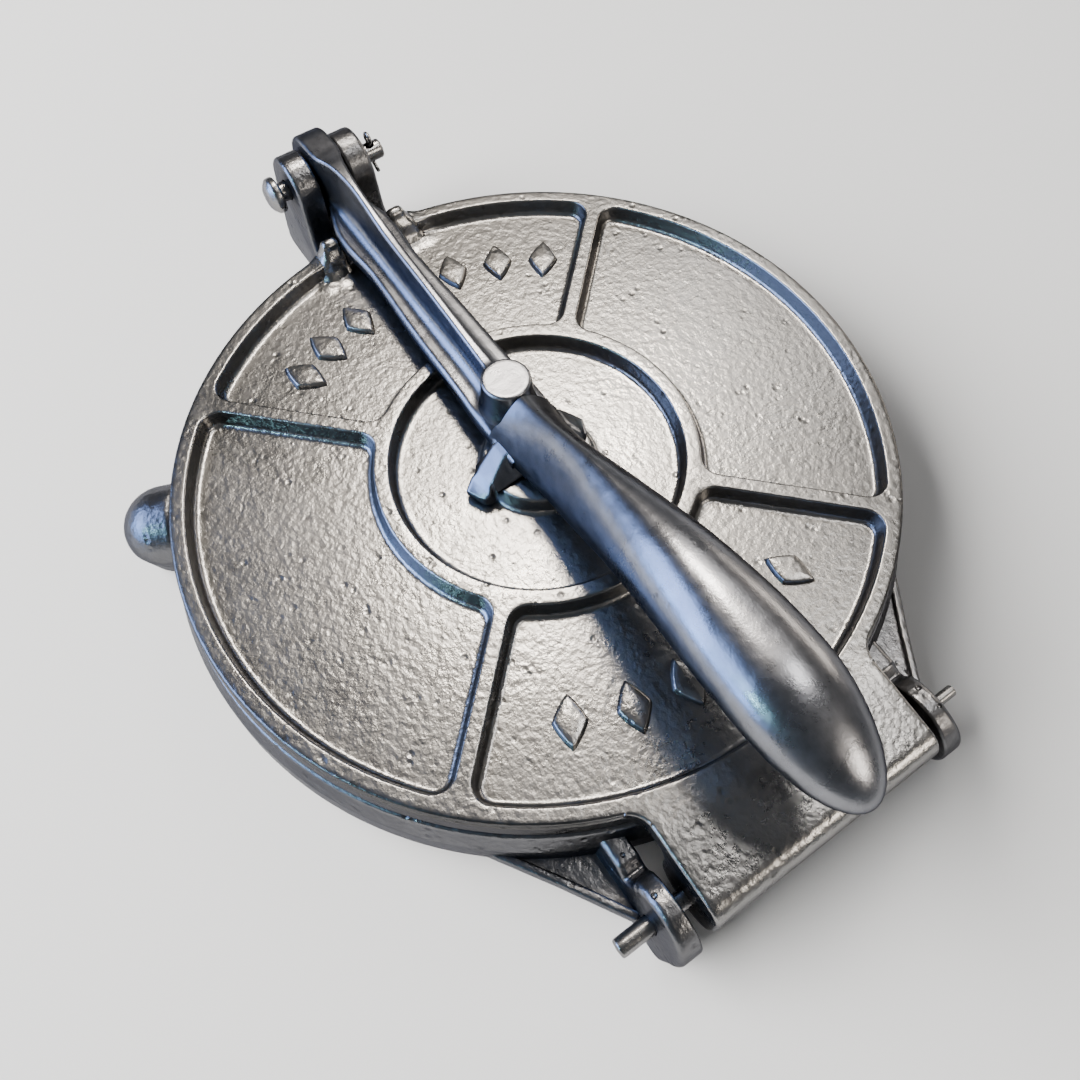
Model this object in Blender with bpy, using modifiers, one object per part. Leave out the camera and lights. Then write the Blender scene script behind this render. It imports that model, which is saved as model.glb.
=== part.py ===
# Cast-iron tortilla press: two round plates hinged at one end, and a lever that
# pivots in a clevis at the other end and bears down on the middle of the lid.
# Units are metres. +X runs from the clevis to the lid's hinge, +Y to the side, +Z up.
# Every dimension below counts from the table and from the centre of the plates. An
# empty then carries the whole press so that the origin lies under its middle.

import math

import bmesh
import bpy

# From the middle of the whole press to the centre of its plates
PLATE_CENTRE_X = 0.0044

# Plates
LID_RADIUS = 0.1000
LID_TOP = 0.0310
LID_THICKNESS = 0.0082
FIT_GAP = 0.0003
POCKET_DEPTH = 0.0050
POCKET_RADIUS = 0.0957
POCKET_CORNER = 0.0055
RIB_WIDTH = 0.0040
RING_OUTER = 0.0452
RING_INNER = 0.0410
BOSS_RADIUS = 0.0150
WALL_DRAFT = 0.26
ROOT_FILLET = 0.0012
EDGE_ROUND = 0.0005

# Base casting
BASE_TOP_RADIUS = 0.1010
BASE_SKIRT_RADIUS = 0.1035
BASE_PLATE_THICKNESS = 0.0062
SKIRT_THICKNESS = 0.0045
SKIRT_LOW = 0.0075
FOOT_ANGLE = 118.5
FOOT_TAPER = 0.0028

# Lid hinge
HINGE_X = 0.1133
HINGE_Z = 0.0133
LUG_RADIUS = 0.0117
LUG_INNER_Y = 0.0386
LUG_OUTER_Y = 0.0440
LUG_DRAFT = 0.13
LUG_ARM_TOP = 0.0183
TAB_HALF_WIDTH = 0.0347
TAB_TOP = 0.0285
TAB_END_X = 0.1233
TAB_BARREL_RADIUS = 0.0096
TAB_ROLL = 0.0060
TAB_FILLET = 0.0045
HINGE_PIN_RADIUS = 0.0025
HINGE_PIN_INNER_Y = 0.0180
HINGE_PIN_OUTER_Y = 0.0550

# Clevis and lever pivot
PIVOT_X = -0.1193
PIVOT_Z = 0.0405
EAR_RADIUS = 0.0098
EAR_INNER_Y = 0.0052
EAR_OUTER_Y = 0.0131
EAR_DRAFT = 0.03
CLEVIS_LOW = 0.0078
SLOT_FLOOR = 0.0240
LEVER_PIN_RADIUS = 0.0030
PIN_HEAD_RADIUS = 0.0056
PIN_HEAD_THICKNESS = 0.0045
PIN_HEAD_Y = -0.0158
PIN_END_Y = 0.0200
COTTER_Y = 0.0164
COTTER_WIRE_RADIUS = 0.0006

# Lever
EYE_RADIUS = 0.0130
EYE_HALF_THICKNESS = 0.0045
STOP_X = -0.0140
STOP_TOP = 0.0500
STOP_RADIUS = 0.0068
CHEEK_INNER_Y = 0.0089
CHEEK_TOP = 0.0366
GRIP_END_X = 0.0920
GRIP_END_LENGTH = 0.0325

# Ribbed neck of the lever along X: x, half width, underside, top, half width of the
# upright rib, flange thickness
NECK_SECTIONS = [
    (-0.1120, 0.0044, 0.0336, 0.0534, 0.0038, 0.0052),
    (-0.1090, 0.0047, 0.0334, 0.0541, 0.0031, 0.0050),
    (-0.1055, 0.0062, 0.0332, 0.0546, 0.0024, 0.0048),
    (-0.0995, 0.0081, 0.0330, 0.0545, 0.0015, 0.0046),
    (-0.0760, 0.0081, 0.0330, 0.0502, 0.0014, 0.0046),
    (-0.0520, 0.0091, 0.0330, 0.0484, 0.0013, 0.0046),
    (-0.0280, 0.0096, 0.0330, 0.0466, 0.0015, 0.0050),
    (-0.0088, 0.0101, 0.0330, 0.0464, 0.0024, 0.0052),
]

# Grip along X: x, half width, underside, height of its widest line, top, and the
# power of the rounded section above and below that line
GRIP_SECTIONS = [
    (-0.0065, 0.0102, 0.0330, 0.0360, 0.0504, 1.45, 5.0),
    (-0.0020, 0.0097, 0.0330, 0.0362, 0.0514, 1.45, 4.6),
    (0.0050, 0.0089, 0.0330, 0.0375, 0.0538, 1.48, 4.2),
    (0.0120, 0.0084, 0.0334, 0.0400, 0.0566, 1.50, 3.4),
    (0.0200, 0.0086, 0.0342, 0.0430, 0.0596, 1.55, 3.0),
    (0.0280, 0.0092, 0.0356, 0.0465, 0.0623, 1.65, 2.6),
    (0.0400, 0.0099, 0.0392, 0.0520, 0.0659, 1.80, 2.4),
    (0.0540, 0.0112, 0.0442, 0.0570, 0.0697, 1.95, 2.25),
    (0.0680, 0.0124, 0.0480, 0.0600, 0.0720, 2.05, 2.15),
    (0.0820, 0.0133, 0.0506, 0.0620, 0.0731, 2.10, 2.10),
    (0.0920, 0.0134, 0.0520, 0.0628, 0.0736, 2.10, 2.10),
    (0.1245, 0.0134, 0.0477, 0.0585, 0.0693, 2.10, 2.10),
]

# Cross bar from its left end to its right one: x and y of the edge towards the clevis,
# x and y of the edge towards the hinge, underside, top, and how far each edge draws in
# towards the top
BAR_SECTIONS = [
    (-0.0022, -0.0220, 0.0044, -0.0193, 0.0272, 0.0303, 0.0004, 0.0004),
    (-0.0048, -0.0195, 0.0050, -0.0180, 0.0272, 0.0316, 0.0013, 0.0010),
    (-0.0062, -0.0173, 0.0050, -0.0168, 0.0272, 0.0333, 0.0024, 0.0024),
    (-0.0066, -0.0162, 0.0050, -0.0160, 0.0313, 0.0340, 0.0026, 0.0028),
    (-0.0082, -0.0108, 0.0052, -0.0106, 0.0313, 0.0380, 0.0026, 0.0052),
    (-0.0086, -0.0070, 0.0052, -0.0070, 0.0313, 0.0400, 0.0026, 0.0050),
    (-0.0086, 0.0070, 0.0052, 0.0070, 0.0313, 0.0400, 0.0026, 0.0050),
    (-0.0072, 0.0108, 0.0052, 0.0104, 0.0313, 0.0376, 0.0020, 0.0046),
    (-0.0046, 0.0136, 0.0050, 0.0124, 0.0313, 0.0350, 0.0012, 0.0020),
    (-0.0019, 0.0157, 0.0040, 0.0136, 0.0313, 0.0329, 0.0005, 0.0005),
]

SIDE_NAMES = {-1: "left", 1: "right"}

# Each foot: distance from the plates' centre, dome radius, height of the dome's centre.
# The right one stands further in, so that the upper plate hides it from above.
FEET = {-1: (0.1070, 0.0120, 0.0105), 1: (0.1032, 0.0110, 0.0100)}


def clear_scene():
    for item in list(bpy.data.objects):
        bpy.data.objects.remove(item, do_unlink=True)


def new_collection(name):
    collection = bpy.data.collections.new(name)
    bpy.context.scene.collection.children.link(collection)
    return collection


def metal(name, color, roughness):
    material = bpy.data.materials.new(name)
    material.use_nodes = True
    shader = material.node_tree.nodes["Principled BSDF"]
    shader.inputs["Base Color"].default_value = (*color, 1.0)
    shader.inputs["Metallic"].default_value = 1.0
    shader.inputs["Roughness"].default_value = roughness
    return material


def place(name, mesh, collection, material=None, location=(0.0, 0.0, 0.0)):
    obj = bpy.data.objects.new(name, mesh)
    obj.location = location
    collection.objects.link(obj)
    if material:
        mesh.materials.append(material)
    if collection is helpers:
        obj.hide_render = True
        obj.display_type = "WIRE"
    return obj


def smooth(mesh, angle=35.0):
    mesh.shade_smooth()
    mesh.set_sharp_from_angle(angle=math.radians(angle))


def bevel(obj, width, segments=2, angle=40.0):
    modifier = obj.modifiers.new("Rounded edges", "BEVEL")
    modifier.width = width
    modifier.segments = segments
    modifier.limit_method = "ANGLE"
    modifier.angle_limit = math.radians(angle)


def boolean(obj, other, operation):
    modifier = obj.modifiers.new(f"{operation.title()} {other.name}", "BOOLEAN")
    modifier.operation = operation
    modifier.object = other
    modifier.solver = "EXACT"


def arc(cx, cz, radius, start, end, count):
    """Points on a circle from one angle in degrees to another, ends included."""
    points = []
    for index in range(count + 1):
        angle = math.radians(start + (end - start) * index / count)
        points.append((cx + radius * math.cos(angle), cz + radius * math.sin(angle)))
    return points


def turned(name, profile, collection, steps=96, material=None, location=(0, 0, 0)):
    """Solid of revolution about Z from (radius, height) points, top to bottom."""
    mesh = bpy.data.meshes.new(name)
    verts = [(radius, 0.0, height) for radius, height in profile]
    edges = [(index, index + 1) for index in range(len(verts) - 1)]
    mesh.from_pydata(verts, edges, [])
    obj = place(name, mesh, collection, material, location)
    screw = obj.modifiers.new("Turn", "SCREW")
    screw.axis = "Z"
    screw.steps = steps
    screw.render_steps = steps
    screw.use_merge_vertices = True
    screw.merge_threshold = 0.00001
    screw.use_smooth_shade = True
    return obj


def turned_ring(name, profile, collection, steps=96):
    """Closed ring turned about Z from a closed (radius, height) outline."""
    obj = turned(name, profile, collection, steps)
    mesh = obj.data
    mesh.edges.add(1)
    mesh.edges[-1].vertices = (len(profile) - 1, 0)
    return obj


def flat_solid(name, outline, thickness, collection, upright=False, centre=0.0):
    """Outline extruded: lying in XY about height centre, or upright in XZ about Y = centre."""
    curve = bpy.data.curves.new(name, "CURVE")
    curve.dimensions = "2D"
    curve.fill_mode = "BOTH"
    curve.extrude = thickness / 2
    spline = curve.splines.new("POLY")
    spline.points.add(len(outline) - 1)
    for point, (u, v) in zip(spline.points, outline):
        point.co = (u, v, 0.0, 1.0)
    spline.use_cyclic_u = True
    guide = bpy.data.objects.new(name + "_outline", curve)
    bpy.context.scene.collection.objects.link(guide)
    if upright:
        guide.rotation_euler = (math.pi / 2, 0.0, 0.0)
        guide.location = (0.0, centre, 0.0)
    else:
        guide.location = (0.0, 0.0, centre)
    bpy.context.view_layer.update()
    mesh = bpy.data.meshes.new_from_object(guide.evaluated_get(bpy.context.evaluated_depsgraph_get()))
    mesh.name = name
    matrix = guide.matrix_world.copy()
    bpy.data.objects.remove(guide, do_unlink=True)
    edit = bmesh.new()
    edit.from_mesh(mesh)
    bmesh.ops.remove_doubles(edit, verts=edit.verts, dist=0.000001)
    bmesh.ops.recalc_face_normals(edit, faces=edit.faces)
    edit.to_mesh(mesh)
    edit.free()
    obj = place(name, mesh, collection)
    obj.matrix_world = matrix
    return obj


def block(name, low, high, collection, top_scale=(1.0, 1.0), top_shift=(0.0, 0.0)):
    """Box between two corners, its top face drawn in by top_scale and slid by top_shift."""
    mesh = bpy.data.meshes.new(name)
    edit = bmesh.new()
    bmesh.ops.create_cube(edit, size=1.0)
    for vert in edit.verts:
        if vert.co.z > 0:
            vert.co.x *= top_scale[0]
            vert.co.y *= top_scale[1]
        upper = vert.co.z > 0
        for axis in range(3):
            size = high[axis] - low[axis]
            vert.co[axis] = (low[axis] + high[axis]) / 2 + vert.co[axis] * size
        if upper:
            vert.co.x += top_shift[0]
            vert.co.y += top_shift[1]
    edit.to_mesh(mesh)
    edit.free()
    return place(name, mesh, collection)


def rod(name, radius, y_start, y_end, x, z, collection, steps=24, material=None):
    """Cylinder along Y, with its origin on its axis."""
    mesh = bpy.data.meshes.new(name)
    edit = bmesh.new()
    bmesh.ops.create_cone(
        edit, cap_ends=True, segments=steps, radius1=radius, radius2=radius,
        depth=abs(y_end - y_start))
    for vert in edit.verts:
        vert.co = (vert.co.x, (y_start + y_end) / 2 - vert.co.z, vert.co.y)
    edit.to_mesh(mesh)
    edit.free()
    smooth(mesh)
    return place(name, mesh, collection, material, (x, 0.0, z))


def sector_outline(inner, outer, half_rib, corner):
    """Quarter ring between two ribs on the diagonals, with rounded corners.

    The ribs have parallel sides, so each corner arc touches a straight rib side
    and one of the two circles.
    """
    points = []
    far = math.sqrt((outer - corner) ** 2 - (half_rib + corner) ** 2)
    near = math.sqrt((inner + corner) ** 2 - (half_rib + corner) ** 2)
    far_angle = math.degrees(math.atan2(half_rib + corner, far))
    near_angle = math.degrees(math.atan2(half_rib + corner, near))
    points += arc(far, half_rib + corner, corner, -90, far_angle, 4)
    points += arc(0, 0, outer, far_angle, 90 - far_angle, 18)[1:-1]
    points += arc(half_rib + corner, far, corner, 90 - far_angle, 180, 4)
    points += arc(half_rib + corner, near, corner, 180, 270 - near_angle, 4)
    points += arc(0, 0, inner, 90 - near_angle, near_angle, 9)[1:-1]
    points += arc(near, half_rib + corner, corner, 180 + near_angle, 270, 4)
    return points


def wall_steps(depth):
    """Inset and depth of each step down a drafted pocket wall with a filleted root."""
    steps = [(EDGE_ROUND, EDGE_ROUND)]
    straight = depth - EDGE_ROUND - ROOT_FILLET
    steps.append((straight * WALL_DRAFT, straight))
    for index in range(2):
        a = math.radians(45 * index)
        b = math.radians(45 * (index + 1))
        inset = ROOT_FILLET * (math.cos(a) - math.cos(b))
        steps.append((inset, ROOT_FILLET * (math.sin(b) - math.sin(a))))
    return steps


def pocket_cutter(name, outline, turn):
    """Cutter for a drafted pocket that opens upward at the lid's top."""
    mesh = bpy.data.meshes.new(name)
    edit = bmesh.new()
    cosine = math.cos(turn)
    sine = math.sin(turn)
    verts = []
    for x, y in outline:
        verts.append(edit.verts.new((x * cosine - y * sine, x * sine + y * cosine, LID_TOP)))
    face = edit.faces.new(verts)
    raised = bmesh.ops.extrude_face_region(edit, geom=[face], use_keep_orig=True)
    lifted = [item for item in raised["geom"] if isinstance(item, bmesh.types.BMVert)]
    bmesh.ops.translate(edit, verts=lifted, vec=(0.0, 0.0, 0.004))
    bmesh.ops.recalc_face_normals(edit, faces=edit.faces)
    for inset, drop in wall_steps(POCKET_DEPTH):
        bmesh.ops.inset_individual(edit, faces=[face], thickness=inset, depth=drop)
    edit.to_mesh(mesh)
    edit.free()
    smooth(mesh)
    return place(name, mesh, helpers)


def blend_value(table, column, x):
    """Catmull-Rom value of one column of a station table at x."""
    index = 1
    while index < len(table) - 1 and x > table[index][0]:
        index += 1
    left = table[index - 1]
    right = table[index]
    before = table[max(index - 2, 0)]
    after = table[min(index + 1, len(table) - 1)]
    span = right[0] - left[0]
    t = (x - left[0]) / span
    slope_left = (right[column] - before[column]) / (right[0] - before[0]) * span
    slope_right = (after[column] - left[column]) / (after[0] - left[0]) * span
    value = (2 * t ** 3 - 3 * t ** 2 + 1) * left[column]
    value += (t ** 3 - 2 * t ** 2 + t) * slope_left
    value += (3 * t ** 2 - 2 * t ** 3) * right[column]
    value += (t ** 3 - t ** 2) * slope_right
    return value


def mirrored(side):
    """Whole section from its +Y half, given from the lowest point to the highest."""
    return side + [(-y, z) for y, z in reversed(side[1:-1])]


def neck_section(x):
    """Ribbed section of the lever's neck at x, as (y, z) points."""
    width, low, high, rib, flange = [blend_value(NECK_SECTIONS, column, x) for column in range(1, 6)]
    edge = min(0.0016, flange * 0.35)
    ledge = low + flange
    return mirrored([
        (0.0, low), (width * 0.55, low), (width - edge, low),
        (width - edge * 0.3, low + edge * 0.3), (width, low + flange * 0.5),
        (width - edge * 0.3, ledge - edge * 0.3), (width - edge, ledge),
        (rib + (width - rib) * 0.45, ledge + 0.0004), (rib + (width - rib) * 0.18, ledge + 0.0016),
        (rib + 0.0005, ledge + (high - ledge) * 0.45), (rib, high - 0.0008),
        (rib * 0.6, high - 0.0002), (0.0, high)])


def grip_section(x, scale=1.0):
    """Rounded section of the grip at x, drawn in about its widest line by scale."""
    width, low, middle, high, upper, lower = [
        blend_value(GRIP_SECTIONS, column, x) for column in range(1, 7)]
    side = []
    for index in range(13):
        angle = math.radians(-90 + 15 * index)
        power = 2 / (upper if index > 6 else lower)
        reach = high - middle if index > 6 else low - middle
        across = width * scale * abs(math.cos(angle)) ** power if 0 < index < 12 else 0.0
        side.append((across, middle + reach * scale * abs(math.sin(angle)) ** power))
    return mirrored(side)


def lever_rings():
    """Stations and sections from the eye to the tip, the tip rounded as an ellipse."""
    rings = []
    for index in range(27):
        x = NECK_SECTIONS[0][0] + (NECK_SECTIONS[-1][0] - NECK_SECTIONS[0][0]) * index / 26
        rings.append((x, neck_section(x)))
    for index in range(23):
        x = GRIP_SECTIONS[0][0] + (GRIP_END_X - GRIP_SECTIONS[0][0]) * index / 22
        rings.append((x, grip_section(x)))
    for index in range(1, 8):
        turn = math.radians(12 * index)
        x = GRIP_END_X + GRIP_END_LENGTH * math.sin(turn)
        rings.append((x, grip_section(x, math.cos(turn))))
    return rings


def lofted(name, rings, collection, material=None, location=(0.0, 0.0, 0.0)):
    """Body through rings of points, closed by a face at each end."""
    edit = bmesh.new()
    loops = [[edit.verts.new(point) for point in ring] for ring in rings]
    for first, second in zip(loops, loops[1:]):
        for index in range(len(first)):
            following = (index + 1) % len(first)
            edit.faces.new((first[index], second[index], second[following], first[following]))
    edit.faces.new(loops[0])
    edit.faces.new(list(reversed(loops[-1])))
    bmesh.ops.recalc_face_normals(edit, faces=edit.faces)
    mesh = bpy.data.meshes.new(name)
    edit.to_mesh(mesh)
    edit.free()
    smooth(mesh, 40.0)
    return place(name, mesh, collection, material, location)


def cross_bar():
    """Bar under the lever: it stands on the lid's boss and hooks down past its left side."""
    rings = []
    for x_near, y_near, x_far, y_far, low, high, inset_near, inset_far in BAR_SECTIONS:
        rings.append([(x_near, y_near, low), (x_far, y_far, low),
                      (x_far - inset_far * 0.25, y_far, low + (high - low) * 0.5),
                      (x_far - inset_far, y_far, high), (x_near + inset_near, y_near, high),
                      (x_near + inset_near * 0.25, y_near, low + (high - low) * 0.5)])
    bar = lofted("lever_crossbar", rings, helpers)
    bevel(bar, 0.0006, 1, 50.0)
    return bar


def make_lever(collection, material):
    rings = [[(x - PIVOT_X, y, z - PIVOT_Z) for y, z in section] for x, section in lever_rings()]
    lever = lofted("lever", rings, collection, material, (PIVOT_X, 0.0, PIVOT_Z))
    eye = rod("lever_eye", EYE_RADIUS, -EYE_HALF_THICKNESS, EYE_HALF_THICKNESS,
              PIVOT_X, PIVOT_Z, helpers, steps=36)
    bevel(eye, 0.0009, 1)
    stop_profile = [(0.0, STOP_TOP), (STOP_RADIUS - 0.0006, STOP_TOP), (STOP_RADIUS, STOP_TOP - 0.0006),
                    (STOP_RADIUS + 0.0008, 0.0440), (STOP_RADIUS + 0.0022, 0.0385),
                    (STOP_RADIUS + 0.0026, 0.0350), (0.0, 0.0350)]
    stop = turned("lever_stop", stop_profile, helpers, 32, location=(STOP_X, 0.0, 0.0))
    bore = rod("lever_bore", LEVER_PIN_RADIUS + FIT_GAP, -0.010, 0.010, PIVOT_X, PIVOT_Z, helpers)
    boolean(lever, eye, "UNION")
    boolean(lever, stop, "UNION")
    boolean(lever, cross_bar(), "UNION")
    boolean(lever, bore, "DIFFERENCE")
    return lever


def make_lid(collection, material):
    low = LID_TOP - LID_THICKNESS
    profile = [(0.0, LID_TOP), (LID_RADIUS - 0.0008, LID_TOP), (LID_RADIUS - 0.0001, LID_TOP - 0.0006),
               (LID_RADIUS - 0.0004, LID_TOP - 0.0016),
               (LID_RADIUS + 0.0002, LID_TOP - 0.0021), (LID_RADIUS + 0.0006, low + 0.0006),
               (LID_RADIUS, low), (0.0, low)]
    lid = turned("lid", profile, collection, 88, material)
    outline = sector_outline(RING_OUTER, POCKET_RADIUS, RIB_WIDTH / 2, POCKET_CORNER)
    for index in range(4):
        turn = math.radians(45 + 90 * index)
        boolean(lid, pocket_cutter(f"lid_pocket_{index + 1}", outline, turn), "DIFFERENCE")
    height = LID_TOP
    outer = [(RING_INNER, height)]
    inner = [(BOSS_RADIUS, height)]
    for inset, drop in wall_steps(POCKET_DEPTH):
        height -= drop
        outer.append((outer[-1][0] - inset, height))
        inner.append((inner[-1][0] + inset, height))
    centre = [(BOSS_RADIUS, LID_TOP + 0.003), (RING_INNER, LID_TOP + 0.003)] + outer + list(reversed(inner))
    boolean(lid, turned_ring("lid_centre_pocket", centre, helpers, 64), "DIFFERENCE")
    for side in (-1, 1):
        edges = (side * CHEEK_INNER_Y, side * 0.0186)
        cheek = block(f"lid_cheek_{SIDE_NAMES[side]}",
                      (-0.0994, min(edges), LID_TOP - POCKET_DEPTH - 0.0005),
                      (-0.0896, max(edges), CHEEK_TOP), helpers,
                      top_scale=(0.40, 0.56), top_shift=(-0.0025, -side * 0.0021))
        bevel(cheek, 0.0012, 2)
        boolean(lid, cheek, "UNION")
    boolean(lid, hinge_tab(), "UNION")
    bore = rod("lid_hinge_bore", HINGE_PIN_RADIUS + FIT_GAP, -0.040, 0.040, HINGE_X, HINGE_Z, helpers)
    boolean(lid, bore, "DIFFERENCE")
    return lid


def hinge_tab():
    """Tab that slopes from the rim down over the hinge: a side profile inside a plan outline."""
    low = LID_TOP - LID_THICKNESS
    flare_x = math.sqrt((LID_RADIUS + TAB_FILLET) ** 2 - (TAB_HALF_WIDTH + TAB_FILLET) ** 2)
    barrel_left = HINGE_X - TAB_BARREL_RADIUS
    profile = [(0.080, LID_TOP - 0.0001), (0.080, low), (barrel_left - 0.0030, low)]
    profile += [(barrel_left - 0.0008, low - 0.0014), (barrel_left + 0.0001, HINGE_Z + 0.0030)]
    profile += arc(HINGE_X, HINGE_Z, TAB_BARREL_RADIUS, 180, 352, 16)
    profile += [(TAB_END_X, HINGE_Z + 0.0020)]
    profile += arc(TAB_END_X - TAB_ROLL, TAB_TOP - TAB_ROLL, TAB_ROLL, 0, 82, 6)
    profile.append((LID_RADIUS - 0.0010, LID_TOP - 0.0001))
    tab = flat_solid("lid_hinge_tab", profile, 0.12, helpers, upright=True)
    angle = math.degrees(math.atan2(TAB_HALF_WIDTH + TAB_FILLET, flare_x))
    half = arc(0.0, 0.0, LID_RADIUS - 0.0026, 0, 24, 8)[1:]
    half += arc(flare_x, TAB_HALF_WIDTH + TAB_FILLET, TAB_FILLET, 180 + angle, 270, 4)
    half.append((TAB_END_X + 0.002, TAB_HALF_WIDTH))
    plan = [(LID_RADIUS - 0.0026, 0.0)] + half + [(x, -y) for x, y in reversed(half)]
    outline = flat_solid("lid_tab_plan", plan, 0.050, helpers, centre=0.018)
    boolean(tab, outline, "INTERSECT")
    bevel(tab, 0.0009, 2, 50.0)
    return tab


def make_base(collection, material):
    top = LID_TOP - LID_THICKNESS - FIT_GAP
    under = top - BASE_PLATE_THICKNESS
    profile = [(0.0, top), (BASE_TOP_RADIUS - 0.0006, top), (BASE_TOP_RADIUS, top - 0.0006),
               (BASE_TOP_RADIUS + 0.0010, top - 0.0035), (BASE_SKIRT_RADIUS - 0.0004, top - 0.0070),
               (BASE_SKIRT_RADIUS, SKIRT_LOW + 0.0010), (BASE_SKIRT_RADIUS - 0.0010, SKIRT_LOW),
               (BASE_SKIRT_RADIUS - SKIRT_THICKNESS, SKIRT_LOW),
               (BASE_SKIRT_RADIUS - SKIRT_THICKNESS - 0.0007, under - 0.0018),
               (BASE_SKIRT_RADIUS - SKIRT_THICKNESS - 0.0025, under), (0.0, under)]
    base = turned("base", profile, collection, 80, material)
    for side in (-1, 1):
        boolean(base, base_foot(side), "UNION")
    boolean(base, clevis(), "UNION")
    notch = block("base_hinge_notch", (BASE_TOP_RADIUS + 0.0003, -LUG_INNER_Y - 0.004, -0.001),
                  (0.140, LUG_INNER_Y + 0.004, top - 0.0010), helpers)
    boolean(base, notch, "DIFFERENCE")
    for side in (-1, 1):
        boolean(base, hinge_lug(side), "UNION")
        boolean(base, lug_web(side), "UNION")
        boolean(base, web_edge(side), "UNION")
    slot = block("clevis_slot", (-0.140, -EAR_INNER_Y, SLOT_FLOOR), (-0.1045, EAR_INNER_Y, 0.060), helpers)
    bevel(slot, 0.0015, 2)
    boolean(base, slot, "DIFFERENCE")
    holes = [rod("clevis_bore", LEVER_PIN_RADIUS + FIT_GAP, -0.020, 0.020, PIVOT_X, PIVOT_Z, helpers),
             rod("lug_bore", HINGE_PIN_RADIUS + FIT_GAP, -0.060, 0.060, HINGE_X, HINGE_Z, helpers)]
    for hole in holes:
        boolean(base, hole, "DIFFERENCE")
    return base


def base_foot(side):
    """Domed foot cast against the skirt, tapering a little to the table."""
    distance, radius, centre = FEET[side]
    bottom = radius - FOOT_TAPER
    profile = [(0.0, centre + radius)]
    profile += [(r, z) for r, z in arc(0.0, centre, radius, 75, 0, 5)]
    profile += [(bottom + 0.0010, 0.0010), (bottom, 0.0), (0.0, 0.0)]
    angle = math.radians(FOOT_ANGLE) * side
    spot = (distance * math.cos(angle), distance * math.sin(angle), 0.0)
    return turned(f"base_foot_{SIDE_NAMES[side]}", profile, helpers, 24, location=spot)


def clevis():
    """Post and two ears in one block that widens downward; slot and bores are cut afterwards."""
    outline = [(-0.0960, 0.0195), (-0.1050, 0.0200), (-0.1083, 0.0222), (PIVOT_X + EAR_RADIUS, 0.0262)]
    outline += arc(PIVOT_X, PIVOT_Z, EAR_RADIUS, 0, 172, 18)
    outline += [(-0.1329, 0.0160), (-0.1330, 0.0106), (-0.1312, 0.0084), (-0.1250, CLEVIS_LOW),
                (-0.1030, CLEVIS_LOW), (-0.1000, SKIRT_LOW + 0.0010), (-0.0960, SKIRT_LOW + 0.0020)]
    post = flat_solid("clevis", outline, 2 * EAR_OUTER_Y, helpers, upright=True)
    for vert in post.data.vertices:
        vert.co.z = math.copysign(EAR_OUTER_Y + (PIVOT_Z - vert.co.y) * EAR_DRAFT, vert.co.z)
    bevel(post, 0.0012, 2, 50.0)
    return post


def hinge_lug(side):
    """Lug round the hinge pin: it stands on the table, its arm steps down from the skirt.

    The outer side leans out towards the table; the inner side is upright.
    """
    outline = [(0.0850, LUG_ARM_TOP), (0.0850, SKIRT_LOW + 0.0010), (0.1000, 0.0045), (0.1062, 0.0)]
    outline += [(0.1195, 0.0), (0.1213, 0.0016)]
    outline += arc(HINGE_X, HINGE_Z, LUG_RADIUS, -32, 137, 14)
    outline += [(0.1033, 0.0172), (0.1022, 0.0160), (0.0996, LUG_ARM_TOP)]
    middle = (LUG_INNER_Y + LUG_OUTER_Y) / 2
    lug = flat_solid(f"hinge_lug_{SIDE_NAMES[side]}", outline, LUG_OUTER_Y - LUG_INNER_Y, helpers,
                     upright=True, centre=side * middle)
    for vert in lug.data.vertices:
        if vert.co.z * side < 0:
            outer = LUG_OUTER_Y + (HINGE_Z + LUG_RADIUS - vert.co.y) * LUG_DRAFT
            vert.co.z = -side * (outer - middle)
    bevel(lug, 0.0009, 1, 50.0)
    return lug


def lug_web(side):
    """Low triangular web from the skirt to the lug, tangent to the skirt."""
    outline = [(0.0740, side * 0.0655), (0.0762, side * 0.0681), (0.0938, side * 0.0568),
               (0.1095, side * 0.0470), (0.1095, side * 0.0440), (0.0850, side * 0.0440)]
    return flat_solid(f"lug_web_{SIDE_NAMES[side]}", outline, 0.0038, helpers, centre=0.0078)


def web_edge(side):
    """Raised rib along the web's outer edge."""
    outline = [(0.0755, side * 0.0668), (0.0765, side * 0.0688), (0.0940, side * 0.0575),
               (0.1110, side * 0.0472), (0.1102, side * 0.0450), (0.0930, side * 0.0554)]
    return flat_solid(f"web_edge_{SIDE_NAMES[side]}", outline, 0.0054, helpers, centre=0.0087)


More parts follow.
